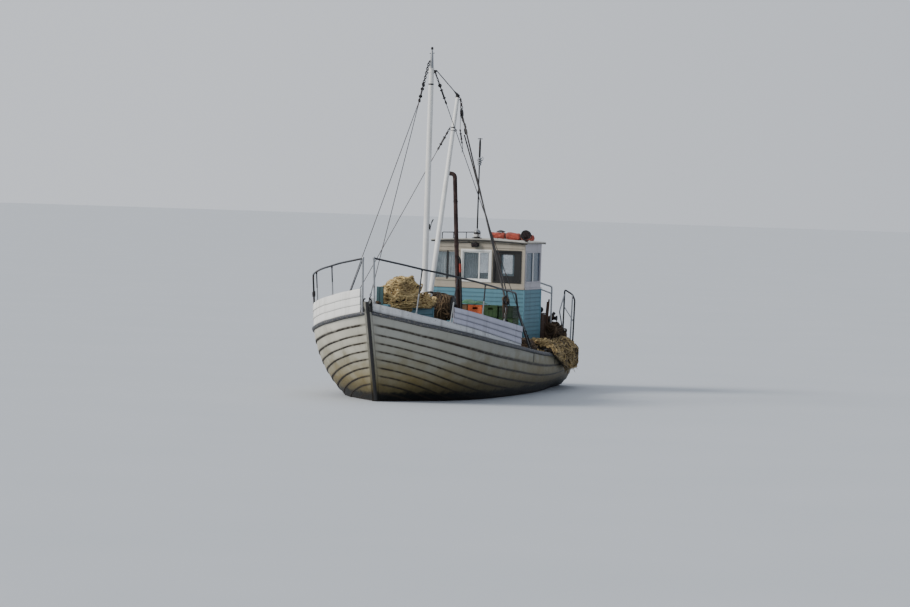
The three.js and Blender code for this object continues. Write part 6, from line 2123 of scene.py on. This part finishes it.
def gear_box():
    """A boarded box behind the house, with a lid of three boards."""
    shape = Shape()
    x0, x1, y0, y1, top = -4.66, -4.23, 0.72, 1.13, 1.74
    base = deck_height(-4.45, 0.72) + 0.004
    count = 5
    for k in range(count):
        low = base + (top - 0.03 - base) * k / count
        high = base + (top - 0.03 - base) * (k + 1) / count - 0.005
        for p, q in pen((x0, y0), (x1, y1), 0.022):
            shape.tone = DRAW.random()
            slab(shape, (*p, low), (*q, high), 0.004)
    for n in range(3):
        shape.tone = DRAW.random()
        slab(shape, (x0 - 0.006, y0 + n * 0.137, top - 0.028), (x1, y0 + n * 0.137 + 0.133, top - 0.002),
             0.004)
    for x in (x0 + 0.03, x1 - 0.07):
        slab(shape, (x, y1, base + 0.02), (x + 0.045, y1 + 0.014, top - 0.04), 0.004)
    return piece("box_boards", shape, "dark_wood", replaces=("gear_box",), sharp=30)


def aft_gear():
    """Net piled by the davit and beside the house, poles at the box's back and floats on its lid."""
    levels = [(0, 0.40, 0.26, 0, 0), (0.25, 0.42, 0.28, 0, 0), (0.50, 0.34, 0.22, 0.02, 0.02),
              (0.68, 0.20, 0.14, 0.04, 0.03), (0.74, 0.05, 0.05, 0.04, 0.03)]
    net_pile("aft_net", (-4.95, 1.22), (-4.9, 1.2), levels, (48, 18), (60, 0.022, 0.42, 0.95, (0.0, 0.9)),
             (170, 0.012, 0.32), ("dark_net", "rope"))
    levels = [(0, 0.82, 0.22, 0, 0), (0.16, 0.84, 0.25, 0, 0), (0.28, 0.70, 0.20, -0.04, 0),
              (0.36, 0.44, 0.14, -0.08, 0), (0.40, 0.10, 0.06, -0.08, 0)]
    net_pile("rail_net", (-2.35, 1.60), (-2.2, 1.6), levels, (64, 14), (80, 0.020, 0.28, 0.95, (0.0, 0.9)),
             (150, 0.012, 0.26), ("net_core", "net"))
    poles = Shape()
    for n, (x, y, lean) in enumerate(((-4.78, 0.98, 0.05), (-4.84, 1.06, -0.03), (-4.74, 1.10, 0.02))):
        foot = Vector((x, y, deck_height(x, y) + 0.003))
        poles.tone = DRAW.random()
        tube(poles, around(foot, (0, 0, 0), (lean, 0.03 * n, 0.9), (lean * 1.6, 0.045 * n, 1.18 + 0.07 * n)),
             [0.024, 0.023, 0.020], 12)
    piece("gaff_poles", poles, "dark_wood", sharp=50)
    floats = Shape()
    for n, (x, y) in enumerate(((-4.50, 0.82), (-4.34, 0.98), (-4.52, 1.03))):
        floats.pick = n % 2
        lathe(floats, [(0.02, 0), (0.055, 0.012), (0.078, 0.05), (0.078, 0.09), (0.055, 0.13), (0.02, 0.142),
                       (0.018, 0.165)], (x, y, 1.742), sides=24)
    piece("net_floats", floats, ["rubber", "canvas"])


def helm_wheel():
    """A wooden wheel of six spokes with a bronze hub."""
    shape = Shape()
    at = Vector((-3.221, -0.35, 2.18))
    torus(shape, at, (1, 0, 0), 0.205, 0.015, 12, 56)
    for k in range(6):
        angle = math.pi * k / 3 + 0.3
        way = Vector((0, math.cos(angle), math.sin(angle)))
        route = [at + way * r for r in (0.03, 0.08, 0.12, 0.17, 0.19)]
        tube(shape, route, [0.010, 0.013, 0.009, 0.012, 0.011], 12)
    shape.pick = 1
    lathe(shape, [(0.020, -0.032), (0.036, -0.024), (0.036, 0.02), (0.018, 0.03), (0.018, 0.084)], at,
          (1, 0, 0), 24)
    return piece("helm_wheel", shape, ["dark_wood", "bronze"], "helm", replaces=("helm",))


def console():
    """Instruments on the wheelhouse console."""
    shape = Shape()
    x = HOUSE["front"] - 0.041 - 0.33
    for y, wide, tall in ((-0.72, 0.26, 0.20), (-0.05, 0.20, 0.15)):
        slab(shape, (x + 0.06, y, 2.382), (x + 0.22, y + wide, 2.382 + tall), 0.012)
    lathe(shape, [(0.07, 0), (0.075, 0.01), (0.06, 0.05), (0.045, 0.075), (0.02, 0.085)],
          (x + 0.13, -0.32, 2.381), sides=28)
    shape.pick = 1
    slab(shape, (x + 0.055, -0.70, 2.41), (x + 0.062, -0.52, 2.56), 0.003)
    slab(shape, (x + 0.055, -0.035, 2.40), (x + 0.062, 0.13, 2.51), 0.003)
    return piece("console_instruments", shape, ["rubber", "side_glass"], sharp=30)


def door_fittings():
    """Hinge straps, a handle and the frame of the door's window."""
    shape = Shape()
    x = HOUSE["rear"]
    for z in (1.75, 2.33, 2.95):
        slab(shape, (x - 0.006, -0.022, z - 0.04), (x - 0.0005, 0.09, z + 0.04), 0.002)
    lathe(shape, [(0.018, 0), (0.020, 0.006), (0.010, 0.012), (0.010, 0.04)], (x - 0.0005, 0.55, 2.25),
          (-1, 0, 0), 16)
    slab(shape, (x - 0.046, 0.44, 2.24), (x - 0.034, 0.562, 2.262), 0.004)
    window = Shape()
    window_frame(window, (0.17, 2.64), (0.41, 3.11), x, (-1, 0), 0.028, 0.010)
    piece("door_fittings", shape, "dark_steel", "door", sharp=30)
    piece("door_window_frame", window, "white", "door", sharp=30)


def scuppers():
    """Thin dark plates on the topmost strake: painted shade that looks like slots through it."""
    shape = Shape()
    plate = ((-0.0028, 0.0035), (-0.0022, 0.0060), (0.0022, 0.0060), (0.0028, 0.0035))
    for side in (1, -1):
        for aft in (5.95, 8.2):
            rings = []
            for girth in np.linspace(0.902, 0.985, 9):
                share = aft / PLANK_RUN - (0.95 - girth) * 0.035
                lap = lap_at(aft / PLANK_RUN) * max(0, 1 - (girth - EDGES[-2]) / (1 - EDGES[-2]))
                row = [skin(share + along, girth, lap + proud - 0.001) for along, proud in plate]
                rings.append(mirrored(row, side))
            shape.loft(rings)
    return piece("scuppers", shape, "rubber")


def cleats():
    """Two mooring cleats on each side of the after deck's sheer."""
    shape = Shape()
    for side in (1, -1):
        for aft in (7.2, 9.0):
            at = over_sheer(aft, 0.002, side, 0.022)
            slab(shape, *around(at, (-0.05, -0.018, 0), (0.05, 0.018, 0.012)), 0.004)
            horns = around(at, (-0.11, 0, 0.055), (-0.04, 0, 0.048), (0.04, 0, 0.048), (0.11, 0, 0.055))
            tube(shape, catmull(horns), 0.010, 8)
            for dx in (-0.03, 0.03):
                lathe(shape, [(0.011, 0.01), (0.009, 0.03), (0.011, 0.045)], at + Vector((dx, 0, 0)),
                      sides=10)
    piece("sheer_cleats", shape, "dark_steel")


def rope_hank():
    """A hank of brown rope that hangs at the foot of the tackle."""
    shape = Shape()
    top = over_sheer(3.42, 1.01, 1, 0.03)
    for n in range(9):
        wide, drop = 0.03 + 0.006 * (n % 4), 0.34 + 0.05 * ((n * 5) % 4)
        head = top + Vector(((n - 4) * 0.016, -0.022 - 0.010 * (n % 3), 0))
        loop = []
        for k in range(25):
            angle = 2 * math.pi * k / 24
            sway = 0.010 * math.sin(2 * angle + n)
            loop.append(head + Vector((wide * math.sin(angle), sway, -drop / 2 + drop / 2 * math.cos(angle))))
        shape.tone = DRAW.random()
        tube(shape, loop, 0.011, 9, 3, 0.08)
    turns_of_rope(shape, top + Vector((0, -0.03, -0.11)), 0.062, 0.010, 4)
    piece("rope_hank", shape, "rope", sharp=180)


def floor():
    """A plain pale floor at the waterline."""
    shape = Shape()
    sides, radius = 64, 500
    turns = [2 * math.pi * i / sides for i in range(sides)]
    shape.add([Vector((radius * math.cos(t), radius * math.sin(t), 0)) for t in turns], [list(range(sides))])
    look = Look("floor", roughness=0.8)
    cloud = look.level(look.noise(0.2, 2), 0.3, 0.7)
    look.set("Base Color", look.mix(cloud, (0.55, 0.585, 0.62, 1), (0.57, 0.60, 0.635, 1)))
    LOOKS["floor"] = look.material
    piece("floor", shape, "floor", body=None)


def finish_nodes():
    """Materials for the solids that are shown as they are."""
    worn = {"keel": "growth", "rudder": "growth", "propeller": "bronze", "engine": "iron",
            "wheelhouse_front": "house",
            "wheelhouse_port": "house_side", "wheelhouse_starboard": "house_side",
            "wheelhouse_rear": "house_side",
            "wheelhouse_door": "teal", "front_glass_1": "glass", "front_glass_2": "glass",
            "front_glass_3": "glass",
            "side_glass_port": "side_glass", "side_glass_starboard": "side_glass", "rear_glass": "glass",
            "door_glass": "glass",
            "wheelhouse_floor": "wood", "helm": "wood", "trunk": "teal", "net_drum_stand": "dark_steel"}
    for node, look in worn.items():
        for holder in NODES[node].material_slots:
            holder.material = LOOKS[look]


make_camera()
make_world()
lamp("key", (0.50, -0.80, 0.55), 2.9, (1.0, 0.96, 0.90), 20)
lamp("fill", (0.8, 0.5, 0.5), 0.15, (0.9, 0.95, 1.0), 60)
floor()
planking()
rub_rails()
bulwarks()
stem()
transom()
deck()
rails()
house_boards()
house_trim()
roof()
curtain("curtain_1", -1.07, -0.50, 9, "blind")
curtain("curtain_2", -0.40, -0.03, 7, "dark_blind")
roof_rail()
lantern_pole()
search_lamp()
flood_lamp()
roof_roll()
pipe()
mast()
boom()
swivel()
stays()
running_rigging()
net_bin()
net_heap()
side_bundle()
drum()
drum_stand()
quarter_net()
crates()
tarp()
hatch_lid()
trunk_trim()
bitt()
davit()
gear_box()
aft_gear()
helm_wheel()
console()
door_fittings()
scuppers()
cleats()
rope_hank()
finish_nodes()
